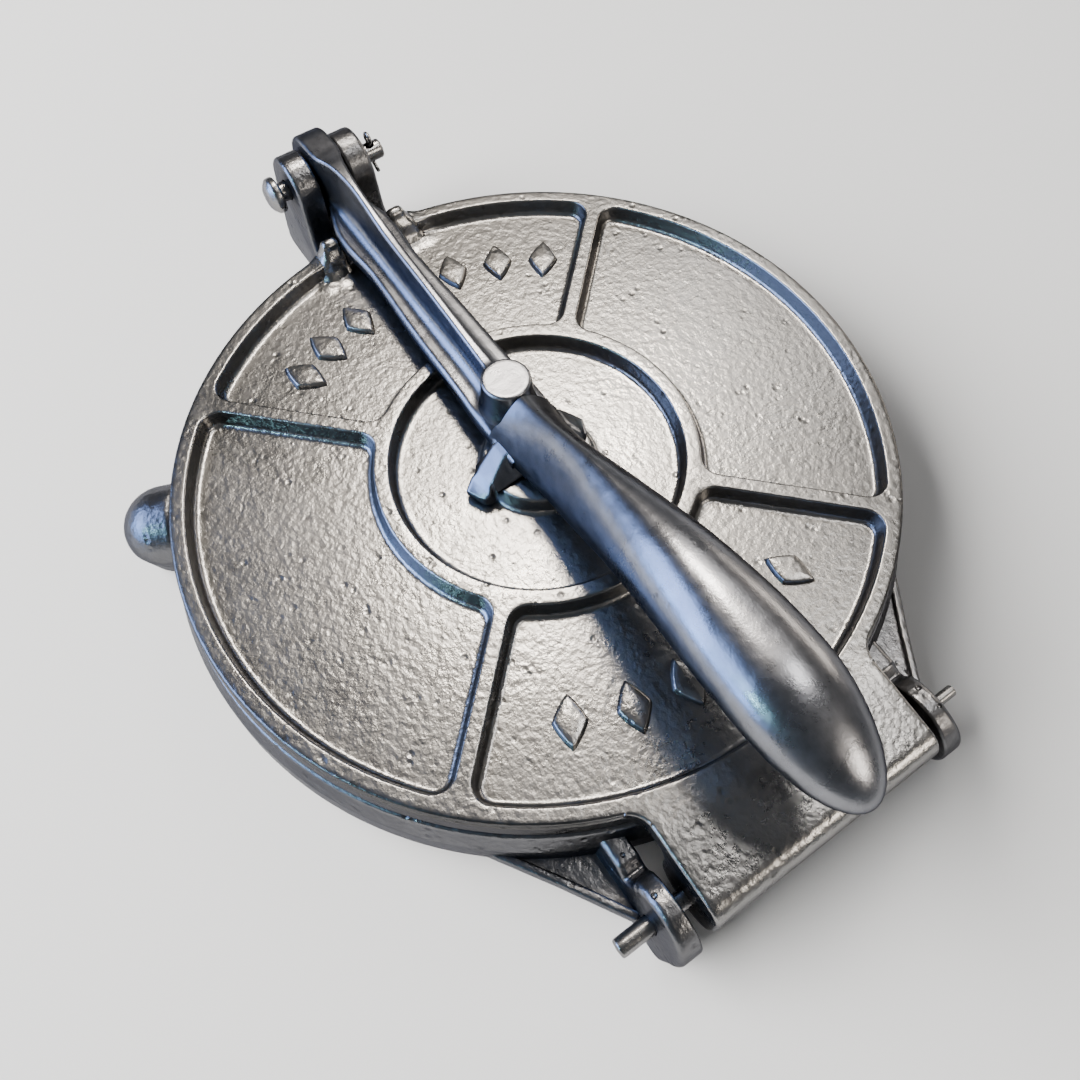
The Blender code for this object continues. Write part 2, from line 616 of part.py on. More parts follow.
def make_lever_pin(collection, material):
    """Pin with a domed head at one end and a cross hole for the split pin at the other."""
    start = PIN_HEAD_Y
    dome = arc(0.0, 0.0, PIN_HEAD_RADIUS, 90, 12, 6)
    cap = [(radius, PIN_HEAD_THICKNESS * (0.3 + 0.7 * height / PIN_HEAD_RADIUS)) for radius, height in dome]
    cap[0] = (0.0, PIN_HEAD_THICKNESS)
    length = PIN_END_Y - start
    profile = cap + [(PIN_HEAD_RADIUS - 0.0003, 0.0), (LEVER_PIN_RADIUS, 0.0),
                     (LEVER_PIN_RADIUS, -length + 0.0006), (LEVER_PIN_RADIUS - 0.0006, -length), (0.0, -length)]
    pin = turned("lever_pin", profile, collection, 28, material, (PIVOT_X, start, PIVOT_Z))
    pin.rotation_euler = (math.pi / 2, 0.0, 0.0)
    mesh = bpy.data.meshes.new("pin_cross_hole")
    edit = bmesh.new()
    bmesh.ops.create_cone(edit, cap_ends=True, segments=16, radius1=0.0016, radius2=0.0016, depth=0.02)
    edit.to_mesh(mesh)
    edit.free()
    hole = place("pin_cross_hole", mesh, helpers, None, (PIVOT_X, COTTER_Y, PIVOT_Z))
    boolean(pin, hole, "DIFFERENCE")
    return pin


def make_cotter(collection, material):
    """Split pin: one wire looped into an eye above the pin, its two legs bent apart below."""
    half_gap = COTTER_WIRE_RADIUS + 0.0001
    eye = 0.0016
    eye_z = LEVER_PIN_RADIUS + 0.0022
    route = [(-0.0042, -0.0056), (-0.0026, -0.0050), (-half_gap, -0.0036), (-half_gap, LEVER_PIN_RADIUS)]
    route += arc(0.0, eye_z, eye, 228, -48, 10)
    route += [(half_gap, LEVER_PIN_RADIUS), (half_gap, -0.0036), (0.0024, -0.0048), (0.0036, -0.0052)]
    curve = bpy.data.curves.new("lever_cotter", "CURVE")
    curve.dimensions = "3D"
    curve.bevel_depth = COTTER_WIRE_RADIUS
    curve.bevel_resolution = 1
    curve.use_fill_caps = True
    spline = curve.splines.new("POLY")
    spline.points.add(len(route) - 1)
    for point, (x, z) in zip(spline.points, route):
        point.co = (x, 0.0, z, 1.0)
    cotter = bpy.data.objects.new("lever_cotter", curve)
    curve.materials.append(material)
    cotter.location = (PIVOT_X, COTTER_Y, PIVOT_Z)
    collection.objects.link(cotter)
    return cotter


def make_hinge_pin(side, name, collection, material):
    pin = rod(name, HINGE_PIN_RADIUS, side * HINGE_PIN_INNER_Y, side * HINGE_PIN_OUTER_Y,
              HINGE_X, HINGE_Z, collection, 20, material)
    bevel(pin, 0.0004, 1)
    return pin


def carry(collections):
    """Parent every piece and cutter to one empty that sets where the origin lies."""
    frame = bpy.data.objects.new("press_frame", None)
    press.objects.link(frame)
    frame.location = (PLATE_CENTRE_X, 0.0, 0.0)
    for collection in collections:
        for item in collection.objects:
            if item is not frame:
                item.parent = frame


clear_scene()
press = new_collection("tortilla_press")
helpers = new_collection("cutters")
tinned_iron = metal("tinned_cast_iron", (0.60, 0.60, 0.60), 0.22)
lid_iron = metal("tinned_lid", (0.62, 0.61, 0.59), 0.24)
lever_iron = metal("tinned_lever", (0.56, 0.57, 0.60), 0.16)
wire_steel = metal("pin_steel", (0.52, 0.52, 0.52), 0.30)

make_base(press, tinned_iron)
make_lid(press, lid_iron)
make_lever(press, lever_iron)
make_lever_pin(press, wire_steel)
make_cotter(press, wire_steel)
make_hinge_pin(-1, "hinge_pin_left", press, wire_steel)
make_hinge_pin(1, "hinge_pin_right", press, wire_steel)
carry((press, helpers))
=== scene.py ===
# Tinned cast-iron tortilla press: the finish, the fine casting detail, the stage and the camera.
import math

import bmesh
import bpy
import numpy as np
from mathutils import Matrix, Vector


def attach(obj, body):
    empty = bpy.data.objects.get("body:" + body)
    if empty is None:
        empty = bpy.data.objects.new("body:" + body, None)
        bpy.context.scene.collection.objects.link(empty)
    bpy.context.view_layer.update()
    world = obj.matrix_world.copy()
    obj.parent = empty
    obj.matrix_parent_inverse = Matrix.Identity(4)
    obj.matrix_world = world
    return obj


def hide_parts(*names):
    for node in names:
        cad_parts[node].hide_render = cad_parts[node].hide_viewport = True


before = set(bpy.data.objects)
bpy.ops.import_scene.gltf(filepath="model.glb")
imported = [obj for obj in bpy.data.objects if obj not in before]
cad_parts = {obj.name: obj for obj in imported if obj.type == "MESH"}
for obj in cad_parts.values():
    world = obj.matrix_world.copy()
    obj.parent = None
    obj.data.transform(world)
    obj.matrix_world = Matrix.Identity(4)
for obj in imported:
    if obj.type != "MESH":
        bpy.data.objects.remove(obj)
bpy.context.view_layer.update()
print("frame loaded:", len(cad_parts), "nodes")

plateCentre = 0.0044    # x of the plates' centre; every shape below counts from there
sharpAngle = math.radians(38)    # edges that turn more than this stay crisp

cameraValues = {
    "place": (0.1255, -0.0747, 0.2658),
    "right": (0.57575, 0.81762, 0.00392),
    "down": (0.71713, -0.50267, -0.48274),
    "forward": (-0.39273, 0.28075, -0.87575),
    "sensor": 36.0,
    "lens": 33.333,
    "shift": (-0.0385, -0.0329),
    "clip": (0.01, 20.0),
}


# A new object of some data, in the scene.
def placed(name, data):
    thing = bpy.data.objects.new(name, data)
    bpy.context.scene.collection.objects.link(thing)
    return thing


# The camera's own axes are the picture's right, up and backward directions.
def makeCamera(values):
    data = bpy.data.cameras.new("camera")
    data.sensor_width = values["sensor"]
    data.lens = values["lens"]
    data.shift_x, data.shift_y = values["shift"]
    data.clip_start, data.clip_end = values["clip"]
    camera = placed("camera", data)
    right, down, forward = [Vector(values[key]) for key in ("right", "down", "forward")]
    turn = Matrix((right, -down, -forward)).transposed().to_4x4()
    spot = Vector(values["place"]) + Vector((plateCentre, 0, 0))
    camera.matrix_world = Matrix.Translation(spot) @ turn
    bpy.context.scene.camera = camera


makeCamera(cameraValues)
print("camera ready")


# Each corner of the line gives way to an arc of its radius that touches both legs:
# centre = corner + bisector * radius / sin(half angle).
def roundedLine(corners, radii, steps=4):
    corners = [np.array(corner, dtype=float) for corner in corners]
    pieces = [corners[0][None]]
    for before, corner, after, radius in zip(corners, corners[1:], corners[2:], radii):
        if radius == 0:
            pieces.append(corner[None])
            continue
        a = (before - corner) / np.linalg.norm(before - corner)
        b = (after - corner) / np.linalg.norm(after - corner)
        half = math.acos(np.clip(a @ b, -1, 1)) / 2
        centre = corner + (a + b) / np.linalg.norm(a + b) * radius / math.sin(half)
        start = corner + a * radius / math.tan(half) - centre
        end = corner + b * radius / math.tan(half) - centre
        sweep = math.pi - 2 * half
        t = np.linspace(0, sweep, steps + 1)[:, None]
        pieces.append(centre + (np.sin(sweep - t) * start + np.sin(t) * end) / math.sin(sweep))
    pieces.append(corners[-1][None])
    return np.vstack(pieces)


# Extra points on the long straight runs of a line, none further apart than the step.
def refined(line, step):
    pieces = [line[:1]]
    for start, end in zip(line, line[1:]):
        count = max(1, int(np.ceil(np.linalg.norm(end - start) / step)))
        t = np.linspace(0, 1, count + 1)[1:, None]
        pieces.append(start + (end - start) * t)
    return np.vstack(pieces)


# Points of a circle from one angle to another, in degrees.
def arcLine(centre, radius, start, end, count):
    angle = np.radians(np.linspace(start, end, count))
    x, y = centre[0] + radius * np.cos(angle), centre[1] + radius * np.sin(angle)
    return np.column_stack((x, y))


# Even angles all the way round, without the last, which is the first again.
def fullTurn(steps):
    return np.linspace(0, 2 * math.pi, steps, endpoint=False)


# |wave|^power with the wave's sign: under 1 it squares a round outline, over 1 it points it.
def raised(wave, power):
    return np.sign(wave) * np.abs(wave) ** power


# Each direction at unit length, turned a quarter clockwise.
def sideways(direction):
    direction = direction / np.linalg.norm(direction, axis=1)[:, None]
    return np.column_stack((direction[:, 1], -direction[:, 0]))


# Inward normals of a closed clockwise line, from the points before and after each one.
def inwardNormals(line):
    return sideways(np.roll(line, -1, axis=0) - np.roll(line, 1, axis=0))


# Surface of revolution: (r cos a, r sin a, z) for a profile of (r, z) and a list of angles.
def turnedGrid(profile, angles):
    radius, height = profile[:, 0][:, None], profile[:, 1][:, None]
    flat = np.ones_like(angles)[None]
    return np.stack((radius * np.cos(angles), radius * np.sin(angles), height * flat), axis=-1)


# Smooth value of each column of a station table at x: a cubic through neighbouring rows.
def tableAt(table, x):
    table = np.array(table)
    knots = table[:, 0]
    slope = np.gradient(table, knots, axis=0)
    index = np.clip(np.searchsorted(knots, x) - 1, 0, len(knots) - 2)
    span = (knots[index + 1] - knots[index])[:, None]
    t = (x - knots[index])[:, None] / span
    value = (2 * t**3 - 3 * t**2 + 1) * table[index] + (t**3 - 2 * t**2 + t) * slope[index] * span
    value += (3 * t**2 - 2 * t**3) * table[index + 1] + (t**3 - t**2) * slope[index + 1] * span
    return value[:, 1:]


# Smooth faces with crisp edges where they turn sharply.
def smooth(mesh):
    mesh.shade_smooth()
    mesh.set_sharp_from_angle(angle=sharpAngle)


# One closed mesh from grids of points: quads between the rows, joined where grids meet.
# Each loop of points in ends becomes one flat face.
def buildPiece(name, grids, ends=()):
    points, quads, start = [], [], 0
    for grid, closed in grids:
        rows, columns = grid.shape[:2]
        index = np.arange(rows * columns).reshape(rows, columns) + start
        after = np.roll(index, -1, axis=1) if closed else index[:, 1:]
        index = index if closed else index[:, :-1]
        corners = (index[:-1], after[:-1], after[1:], index[1:])
        quads.append(np.stack(corners, axis=-1).reshape(-1, 4))
        points.append(grid.reshape(-1, 3))
        start += rows * columns
    points = np.vstack(points) + (plateCentre, 0, 0)
    quads = np.vstack(quads)
    mesh = bpy.data.meshes.new(name)
    mesh.vertices.add(len(points))
    mesh.vertices.foreach_set("co", points.astype(np.float32).ravel())
    mesh.loops.add(quads.size)
    mesh.loops.foreach_set("vertex_index", quads.astype(np.int32).ravel())
    mesh.polygons.add(len(quads))
    mesh.polygons.foreach_set("loop_start", np.arange(0, quads.size, 4, dtype=np.int32))
    mesh.update(calc_edges=True)
    edit = bmesh.new()
    edit.from_mesh(mesh)
    for loop in ends:
        edit.faces.new([edit.verts.new(point) for point in loop + (plateCentre, 0, 0)])
    bmesh.ops.remove_doubles(edit, verts=edit.verts, dist=0.000002)
    bmesh.ops.recalc_face_normals(edit, faces=edit.faces)
    edit.to_mesh(mesh)
    edit.free()
    smooth(mesh)
    return placed(name, mesh)


# Union or difference of two pieces, kept in the first.
def combine(piece, other, operation="UNION"):
    modifier = piece.modifiers.new("join", "BOOLEAN")
    modifier.operation = operation
    modifier.object = other
    modifier.solver = "EXACT"
    bpy.context.view_layer.update()
    state = bpy.context.evaluated_depsgraph_get()
    joined = bpy.data.meshes.new_from_object(piece.evaluated_get(state))
    piece.modifiers.clear()
    spare = (piece.data, other.data)
    piece.data = joined
    bpy.data.objects.remove(other, do_unlink=True)
    for mesh in spare:
        bpy.data.meshes.remove(mesh)
    smooth(joined)


# A round bar along Y or Z with flat ends: one turned profile, its axes changed for Y.
def rodPiece(name, radius, low, high, centre, axis, steps=48):
    profile = np.array([(0, low), (radius, low), (radius, high), (0, high)])
    grid = turnedGrid(profile, fullTurn(steps))
    if axis == 1:
        grid = grid[..., [0, 2, 1]]
    grid = grid + np.where(np.arange(3) == axis, 0, np.array(centre))
    return buildPiece(name, [(grid, True)])


# A round hole along Y through the place (x, z).
def boreHole(piece, radius, reach, place):
    rod = rodPiece("bore", radius, -reach, reach, (place[0], 0, place[1]), 1)
    combine(piece, rod, "DIFFERENCE")


# A clockwise outline (u, v) carried across between two flat faces, w = start + lean * v each.
# Near a face it draws in along its normal by edge * (1 - sin t), for a rounded rim.
def carriedPiece(name, line, faces, edges, axes=(0, 2, 1), steps=8):
    turn = np.linspace(0, math.pi / 2, 6)[:, None]
    low, high = [start + lean * line[:, 1] for start, lean in faces]
    first = low + edges[0] * (1 - np.cos(turn))
    last = high - edges[1] * (1 - np.cos(turn))
    t = np.linspace(0, 1, steps + 1)[1:-1, None]
    across = np.vstack((first, first[-1] + (last[-1] - first[-1]) * t, last[::-1]))
    inset = (edges[0] * (1 - np.sin(turn)), 0 * t, edges[1] * (1 - np.sin(turn[::-1])))
    flat = line[None] + inwardNormals(line)[None] * np.vstack(inset)[:, :, None]
    grid = np.empty(across.shape + (3,))
    for axis, value in zip(axes, (flat[..., 0], flat[..., 1], across)):
        grid[..., axis] = value
    return buildPiece(name, [(grid, True)], ends=(grid[0], grid[-1]))


# A flat shape: its plan (x, y) mirrored to one side, still clockwise, and carried upward.
def flatPiece(name, plan, side, low, high, edges, steps):
    plan = (plan * (1, side))[::side]
    return carriedPiece(name, plan, ((low, 0), (high, 0)), edges, (0, 1, 2), steps)


# Distance from how far each point lies beyond every face: outside, the length of the
# overshoots; inside, the way to the nearest face.
def gapDistance(*gaps):
    gaps = np.stack(gaps, axis=1)
    return np.linalg.norm(np.maximum(gaps, 0), axis=1) + np.minimum(gaps.max(axis=1), 0)


# Cast fillet: each point goes out along its normal by reach / 4 * ((reach - d) / reach)^2,
# where d is its distance to the neighbour, as in a smooth union of two distance fields.
# Nothing sinks under the table.
def swell(piece, distance, reach, where=None):
    mesh = piece.data
    points = np.empty(len(mesh.vertices) * 3, dtype=np.float32)
    normals = np.empty(len(mesh.vertices) * 3, dtype=np.float32)
    mesh.vertices.foreach_get("co", points)
    mesh.vertex_normals.foreach_get("vector", normals)
    points, normals = points.reshape(-1, 3), normals.reshape(-1, 3)
    own = points - (plateCentre, 0, 0)
    near = np.clip((reach - np.abs(distance(own))) / reach, 0, 1)
    if where is not None:
        near = near * where(own)
    points += normals * (reach / 4 * near**2)[:, None]
    points[:, 2] = np.maximum(points[:, 2], 0)
    mesh.vertices.foreach_set("co", points.ravel())
    mesh.update()


lidValues = {
    "radius": 0.1,
    "top": 0.031,
    "thickness": 0.0082,
    "rimFlat": 0.0017,      # from the outer wall in to where the quarters' grids end
    "pocketRadius": 0.0957,
    "pocketDepth": 0.005,
    "pocketCorner": 0.0055,
    "ribWidth": 0.004,
    "ringOuter": 0.0452,
    "ringInner": 0.041,
    "bossRadius": 0.015,
    "wallRun": 0.0013,      # how far a pocket wall leans in over its depth
    "edgeRound": 0.0007,
    "rootRound": 0.0016,
}


# Wall of a pocket as (inset, height): over its rounded edge, down its lean, round its root.
def wallProfile(values):
    depth, run = values["pocketDepth"], values["wallRun"]
    corners = [(-0.0016, 0), (0, 0), (run, -depth), (run + 0.003, -depth)]
    line = roundedLine(corners, (values["edgeRound"], values["rootRound"]), 5)
    return refined(line[1:-1], 0.0008)


# Half of a pocket's outline, from the middle of its inner arc to the middle of its outer arc:
# points, outward normals, and where each normal meets the edge of the pocket's own quarter.
def pocketHalf(values, innerEdge, outerEdge, arcSteps=34, cornerSteps=5, sideSteps=44):
    half, corner = values["ribWidth"] / 2, values["pocketCorner"]
    inner, outer, level = values["ringOuter"], values["pocketRadius"], half + corner
    near = math.sqrt((inner + corner) ** 2 - level**2)
    far = math.sqrt((outer - corner) ** 2 - level**2)
    nearAngle, farAngle = math.atan2(level, near), math.atan2(level, far)
    rows = []

    def rays(angles):
        return np.stack((np.cos(angles), np.sin(angles)), axis=1)

    def circle(radius, angles, sign, edgeRadius):
        ray = rays(angles)
        rows.append((radius * ray, sign * ray, edgeRadius * ray))

    def cornerArc(x, start, end, edgeRadius, side):
        centre, ray = np.array((x, level)), rays(np.linspace(start, end, cornerSteps + 1)[1:])
        toLine = centre[1] / np.maximum(-ray[:, 1], 1e-9)
        along = ray @ centre
        root = np.sqrt(np.maximum(along**2 - (centre @ centre - edgeRadius**2), 0))
        toCircle = -along + side * root
        reach = np.where(toCircle > 0, np.minimum(toLine, toCircle), toLine)
        reach = np.where(-ray[:, 1] < 1e-6, toCircle, reach)
        rows.append((centre + corner * ray, ray, centre + reach[:, None] * ray))

    circle(inner, np.linspace(math.pi / 4, nearAngle, arcSteps + 1), -1, innerEdge)
    nearCut = math.atan2(-level, innerEdge - near) % (2 * math.pi)
    cornerArc(near, math.pi + nearAngle, nearCut, innerEdge, -1)
    cornerArc(near, nearCut, 1.5 * math.pi, innerEdge, -1)
    x = np.linspace(near, far, sideSteps + 1)[1:]
    zero = np.zeros_like(x)
    rib = ((x, zero + half), (zero, zero - 1), (x, zero))
    rows.append([np.stack(line, axis=1) for line in rib])
    farCut = math.atan2(-level, outerEdge - far)
    cornerArc(far, -math.pi / 2, farCut, outerEdge, 1)
    cornerArc(far, farCut, farAngle, outerEdge, 1)
    circle(outer, np.linspace(farAngle, math.pi / 4, arcSteps + 1)[1:], 1, outerEdge)
    firstCut = arcSteps + cornerSteps
    secondCut = firstCut + 2 * cornerSteps + sideSteps
    return [np.vstack(column) for column in zip(*rows)], firstCut, secondCut


# Grid stretched between four lines: the sum of the two ruled surfaces less the bilinear one.
def stretchedGrid(first, second, start, end):
    u = np.linspace(0, 1, len(first))[:, None, None]
    v = np.linspace(0, 1, len(start))[None, :, None]
    ruled = (1 - v) * first[:, None] + v * second[:, None] + (1 - u) * start[None] + u * end[None]
    corners = (1 - u) * (1 - v) * first[0] + (1 - u) * v * second[0]
    corners = corners + u * (1 - v) * first[-1] + u * v * second[-1]
    return ruled - corners


# One quarter of the lid's top: rib and rim edges, the pocket's wall and its floor.
def quarterGrids(values, innerEdge, outerEdge):
    half, firstCut, secondCut = pocketHalf(values, innerEdge, outerEdge)
    points, normals, edges = [np.vstack((line, line[-2:0:-1, ::-1])) for line in half]
    wall, top, count = wallProfile(values), values["top"], len(points)
    rows = []
    lip = points - normals * wall[0, 0]
    for t in np.linspace(0, 1, 4)[:-1]:
        rows.append(np.column_stack((edges + (lip - edges) * t, np.full(count, top))))
    for inset, height in wall:
        rows.append(np.column_stack((points - normals * inset, np.full(count, top + height))))
    loop = rows[-1]
    side = np.arange(firstCut, secondCut + 1)
    innerSide = np.arange(firstCut, -firstCut - 1, -1) % count
    outerSide = np.arange(secondCut, count - secondCut + 1)
    floor = stretchedGrid(loop[side], loop[(-side) % count], loop[innerSide], loop[outerSide])
    return np.array(rows), floor, edges


# Turns points about the upright axis by a whole number of quarters.
def quarterTurned(grid, quarter):
    angle = math.pi / 4 + quarter * math.pi / 2
    turn = np.array(((math.cos(angle), -math.sin(angle)), (math.sin(angle), math.cos(angle))))
    turned = grid.copy()
    turned[..., :2] = grid[..., :2] @ turn.T
    return turned


# Angles at which the quarters' edges stand on a circle, all the way round.
def edgeAngles(edges, radius):
    on = np.abs(np.linalg.norm(edges, axis=1) - radius) < 1e-9
    own = np.unique(np.round(np.arctan2(edges[on, 1], edges[on, 0]), 9))
    own = own[(own > -1e-6) & (own < math.pi / 2 - 1e-6)]
    return np.concatenate([own + math.pi / 4 + quarter * math.pi / 2 for quarter in range(4)])


# Upper plate: four quarters, and two turned profiles of (radius, height), one for the ring,
# the middle and the boss, one for the outer wall and the underside.
def lidPlate(values):
    top, low, radius = values["top"], values["top"] - values["thickness"], values["radius"]
    innerEdge = (values["ringOuter"] + values["ringInner"]) / 2
    outerEdge = radius - values["rimFlat"]
    wall, floor, edges = quarterGrids(values, innerEdge, outerEdge)
    grids = []
    for quarter in range(4):
        grids.append((quarterTurned(wall, quarter), True))
        grids.append((quarterTurned(floor, quarter), False))
    inset, height = wallProfile(values).T
    ringWall = np.column_stack((values["ringInner"] - inset, top + height))
    bossWall = np.column_stack((values["bossRadius"] + inset, top + height))[::-1]
    middle = refined(np.vstack((ringWall[-1:], bossWall[:1])), 0.0012)[1:-1]
    centre = np.vstack(([(innerEdge, top)], ringWall, middle, bossWall,
                        [(0.01, top), (0.005, top), (0, top)]))
    grids.append((turnedGrid(centre, edgeAngles(edges, innerEdge)), True))
    outside = roundedLine(
        [(outerEdge, top), (radius - 0.0001, top), (radius - 0.0001, top - 0.0013),
         (radius - 0.0005, top - 0.0018), (radius + 0.0001, top - 0.0025),
         (radius + 0.0006, low + 0.002), (radius + 0.0002, low), (0.096, low)],
        (0.0008, 0.0002, 0.0003, 0.0005, 0.001, 0.0006), 4)
    under = np.array([(0.09, low), (0.06, low), (0.03, low), (0, low)])
    outside = np.vstack((refined(outside, 0.0012), under))
    grids.append((turnedGrid(outside, edgeAngles(edges, outerEdge)), True))
    return buildPiece("upperPlate", grids)


cheekValues = {
    "foot": ((-0.0994, 0.0089), (-0.0896, 0.0186)),    # lowest and highest x and y at the foot
    "top": ((-0.0992, 0.0089), (-0.0952, 0.0144)),
    "low": 0.0245,
    "high": 0.0366,
    "dome": 0.002,
    "rounding": 0.0012,
    "power": 3.6,
}


# Lowest and highest (x, y) of a cheek, from its top where lean is 0 to its foot where it is 1.
def cheekSpan(values, lean):
    foot, top = np.array(values["foot"]), np.array(values["top"])
    return [top[end] + (foot[end] - top[end]) * lean[:, None] for end in (0, 1)]


# Lump that narrows upward: rounded rectangles |x/a|^n + |y/b|^n = 1, drawn in at the crown.
def makeCheek(values, side, around=48):
    height = np.concatenate((np.linspace(0, 1, 16), np.ones(7)))
    crown = np.concatenate((np.zeros(16), np.linspace(0, math.pi / 2, 8)[1:]))
    low, high = cheekSpan(values, 1 - height)
    centre, half = (low + high) / 2, (high - low) / 2
    half = half - values["dome"] * (1 - np.cos(crown))[:, None]
    half[-1] = 0
    angle, power = fullTurn(around), 2 / values["power"]
    x = centre[:, :1] + half[:, :1] * raised(np.cos(angle), power)
    y = side * (centre[:, 1:] + half[:, 1:] * raised(np.sin(angle), power))
    straight = values["high"] - values["dome"]
    z = values["low"] + (straight - values["low"]) * height + values["dome"] * np.sin(crown)
    grid = np.stack((x, y, np.repeat(z[:, None], around, axis=1)), axis=-1)
    bottom = np.repeat(grid[:1].mean(axis=1, keepdims=True), around, axis=1)
    return buildPiece("cheek", [(np.vstack((bottom, grid)), True)])


# Distance to the plate's top where the cheeks stand: rim, pocket wall and floor.
def plateDistance(points):
    top, floor = lidValues["top"], lidValues["top"] - lidValues["pocketDepth"]
    radius, z = np.hypot(points[:, 0], points[:, 1]), points[:, 2]
    rim = np.hypot(np.maximum(lidValues["pocketRadius"] - radius, 0), np.maximum(z - top, 0))
    return np.where(z < floor, 0, np.minimum(rim, z - floor))


# Distance to a cheek without its fillets: a block that narrows upward.
def cheekDistance(points):
    values, z, rounding = cheekValues, points[:, 2], cheekValues["rounding"]
    rise = np.clip((z - values["low"]) / (values["high"] - values["low"]), 0, 1)
    low, high = cheekSpan(values, 1 - rise)
    flat = np.column_stack((points[:, 0], np.abs(points[:, 1])))
    sides = np.abs(flat - (low + high) / 2) - (high - low) / 2 + rounding
    return gapDistance(sides[:, 0], sides[:, 1], z - values["high"] + rounding) - rounding


tabValues = {
    "halfWidth": 0.0347,
    "start": 0.0972,
    "circle": 0.0972,
    "level": 0.101,         # the top runs flush with the rim as far as here
    "end": 0.1233,
    "endTop": 0.0285,
    "roll": 0.0055,
    "hinge": (0.1133, 0.0133),
    "bore": 0.0028,         # also in the lugs
    "barrel": 0.0096,
    "edge": 0.001,
    "flare": 0.006,
    "flareStart": (0.0905, 0.0895, 0.0375),    # x in the tab, x and y of the corner in the rim
}


# Side outline of the hinge tab, clockwise from the top inner corner, as (x, z).
def tabOutline(values, lid):
    top, low = lid["top"], lid["top"] - lid["thickness"] + 0.0004
    hingeX, hingeZ = values["hinge"]
    start, barrel = values["start"], values["barrel"]
    upper = [(start, low), (start, top), (values["level"], top), (values["end"], values["endTop"]),
             (values["end"], hingeZ + 0.002)]
    upper = roundedLine(upper, (0, 0.03, values["roll"]), 8)
    wrap = arcLine(values["hinge"], barrel, -8, -180, 26)
    back = [wrap[-1], (hingeX - barrel, hingeZ + 0.006), (hingeX - barrel - 0.0016, low),
            (start, low)]
    back = roundedLine(back, (0.004, 0.0012), 5)
    return refined(np.vstack((upper, wrap, back[1:])), 0.0012)


# The outline carried along Y; near each end it shrinks inward by its normal for the rounded
# edge. The inner end follows a circle inside the rim: x = sqrt(r^2 - y^2).
def hingeTab(values, lid):
    line = tabOutline(values, lid)[:-1]
    start, level = values["start"], values["level"]
    inward = np.where((line[:, 0] < start + 0.0002)[:, None], 0, inwardNormals(line))
    turn = np.linspace(0, math.pi / 2, 6)
    inset = values["edge"] * (1 - np.sin(turn))
    rounded = values["halfWidth"] - values["edge"] * (1 - np.cos(turn))
    middle = np.linspace(-rounded[-1], rounded[-1], 60)[1:-1]
    y = np.concatenate((-rounded, middle, rounded[::-1]))
    shrink = np.concatenate((inset, np.zeros(len(middle)), inset[::-1]))
    rows = line[None] + inward[None] * shrink[:, None, None]
    circle = np.sqrt(values["circle"] ** 2 - y**2)[:, None]
    share = np.clip((level - rows[..., 0]) / (level - start), 0, 1)
    x = rows[..., 0] - (start - circle) * share
    grid = np.stack((x, np.repeat(y[:, None], len(line), axis=1), rows[..., 1]), axis=-1)
    return buildPiece("tab", [(grid, True)], ends=(grid[0], grid[-1]))


markValues = {
    "angles": (-148, -157, -167, 167, 156, 145, -28, -15.5, -4, 7.5, 18, 28.5),    # degrees
    "distance": 0.0748,
    "halfLength": 0.0072,
    "halfWidth": 0.0046,
    "height": 0.0015,
    "power": 1.2,
}


# Plain raised lozenges on two pocket floors: |u/a|^n + |v/b|^n = 1, with leaning sides and a
# low crown, each turned to its place round the plate.
def raisedMarks(values, floor):
    angle, power = fullTurn(40), 2 / values["power"]
    along = values["halfLength"] * raised(np.cos(angle), power)
    across = values["halfWidth"] * raised(np.sin(angle), power)
    scale = np.array((0, 0.6, 1, 1, 0.9, 0.86, 0.8, 0.5, 0))
    height = np.array((-0.4, -0.4, -0.4, 0.1, 0.8, 0.94, 1, 1.12, 1.15)) * values["height"]
    u, v = values["distance"] + scale[:, None] * along, scale[:, None] * across
    z = np.broadcast_to((floor + height)[:, None], u.shape)
    grids = []
    for degrees in values["angles"]:
        cosine, sine = math.cos(math.radians(degrees)), math.sin(math.radians(degrees))
        grids.append((np.stack((u * cosine - v * sine, u * sine + v * cosine, z), axis=-1), True))
    return buildPiece("marks", grids)


# Plate, lozenges and cheeks as one casting, then the tab with a flare on each side: an arc
# that touches the rim's circle and the tab's side. The fillet runs where plate and cheek meet.
def makeLid():
    top, low = lidValues["top"], lidValues["top"] - lidValues["thickness"]
    lid = lidPlate(lidValues)
    combine(lid, raisedMarks(markValues, top - lidValues["pocketDepth"]))
    for side in (-1, 1):
        combine(lid, makeCheek(cheekValues, side))

    def cheekSeam(points):
        return np.maximum(np.abs(plateDistance(points)), np.abs(cheekDistance(points)))

    swell(lid, cheekSeam, 0.004)
    combine(lid, hingeTab(tabValues, lidValues))
    half, radius, flare = tabValues["halfWidth"], lidValues["radius"], tabValues["flare"]
    inside, cornerX, cornerY = tabValues["flareStart"]
    centre = (math.sqrt((radius + flare) ** 2 - (half + flare) ** 2), half + flare)
    angle = math.degrees(math.atan2(centre[1], centre[0]))
    plan = np.vstack(([(inside, half - 0.003), (cornerX, cornerY)],
                      arcLine(centre, flare, 180 + angle, 270, 12),
                      [(centre[0] + 0.0004, half - 0.003)]))
    for side in (-1, 1):
        combine(lid, flatPiece("flare", plan, side, low, top, (0.0004, 0.0008), 5))
    boreHole(lid, tabValues["bore"], 0.04, tabValues["hinge"])
    return lid


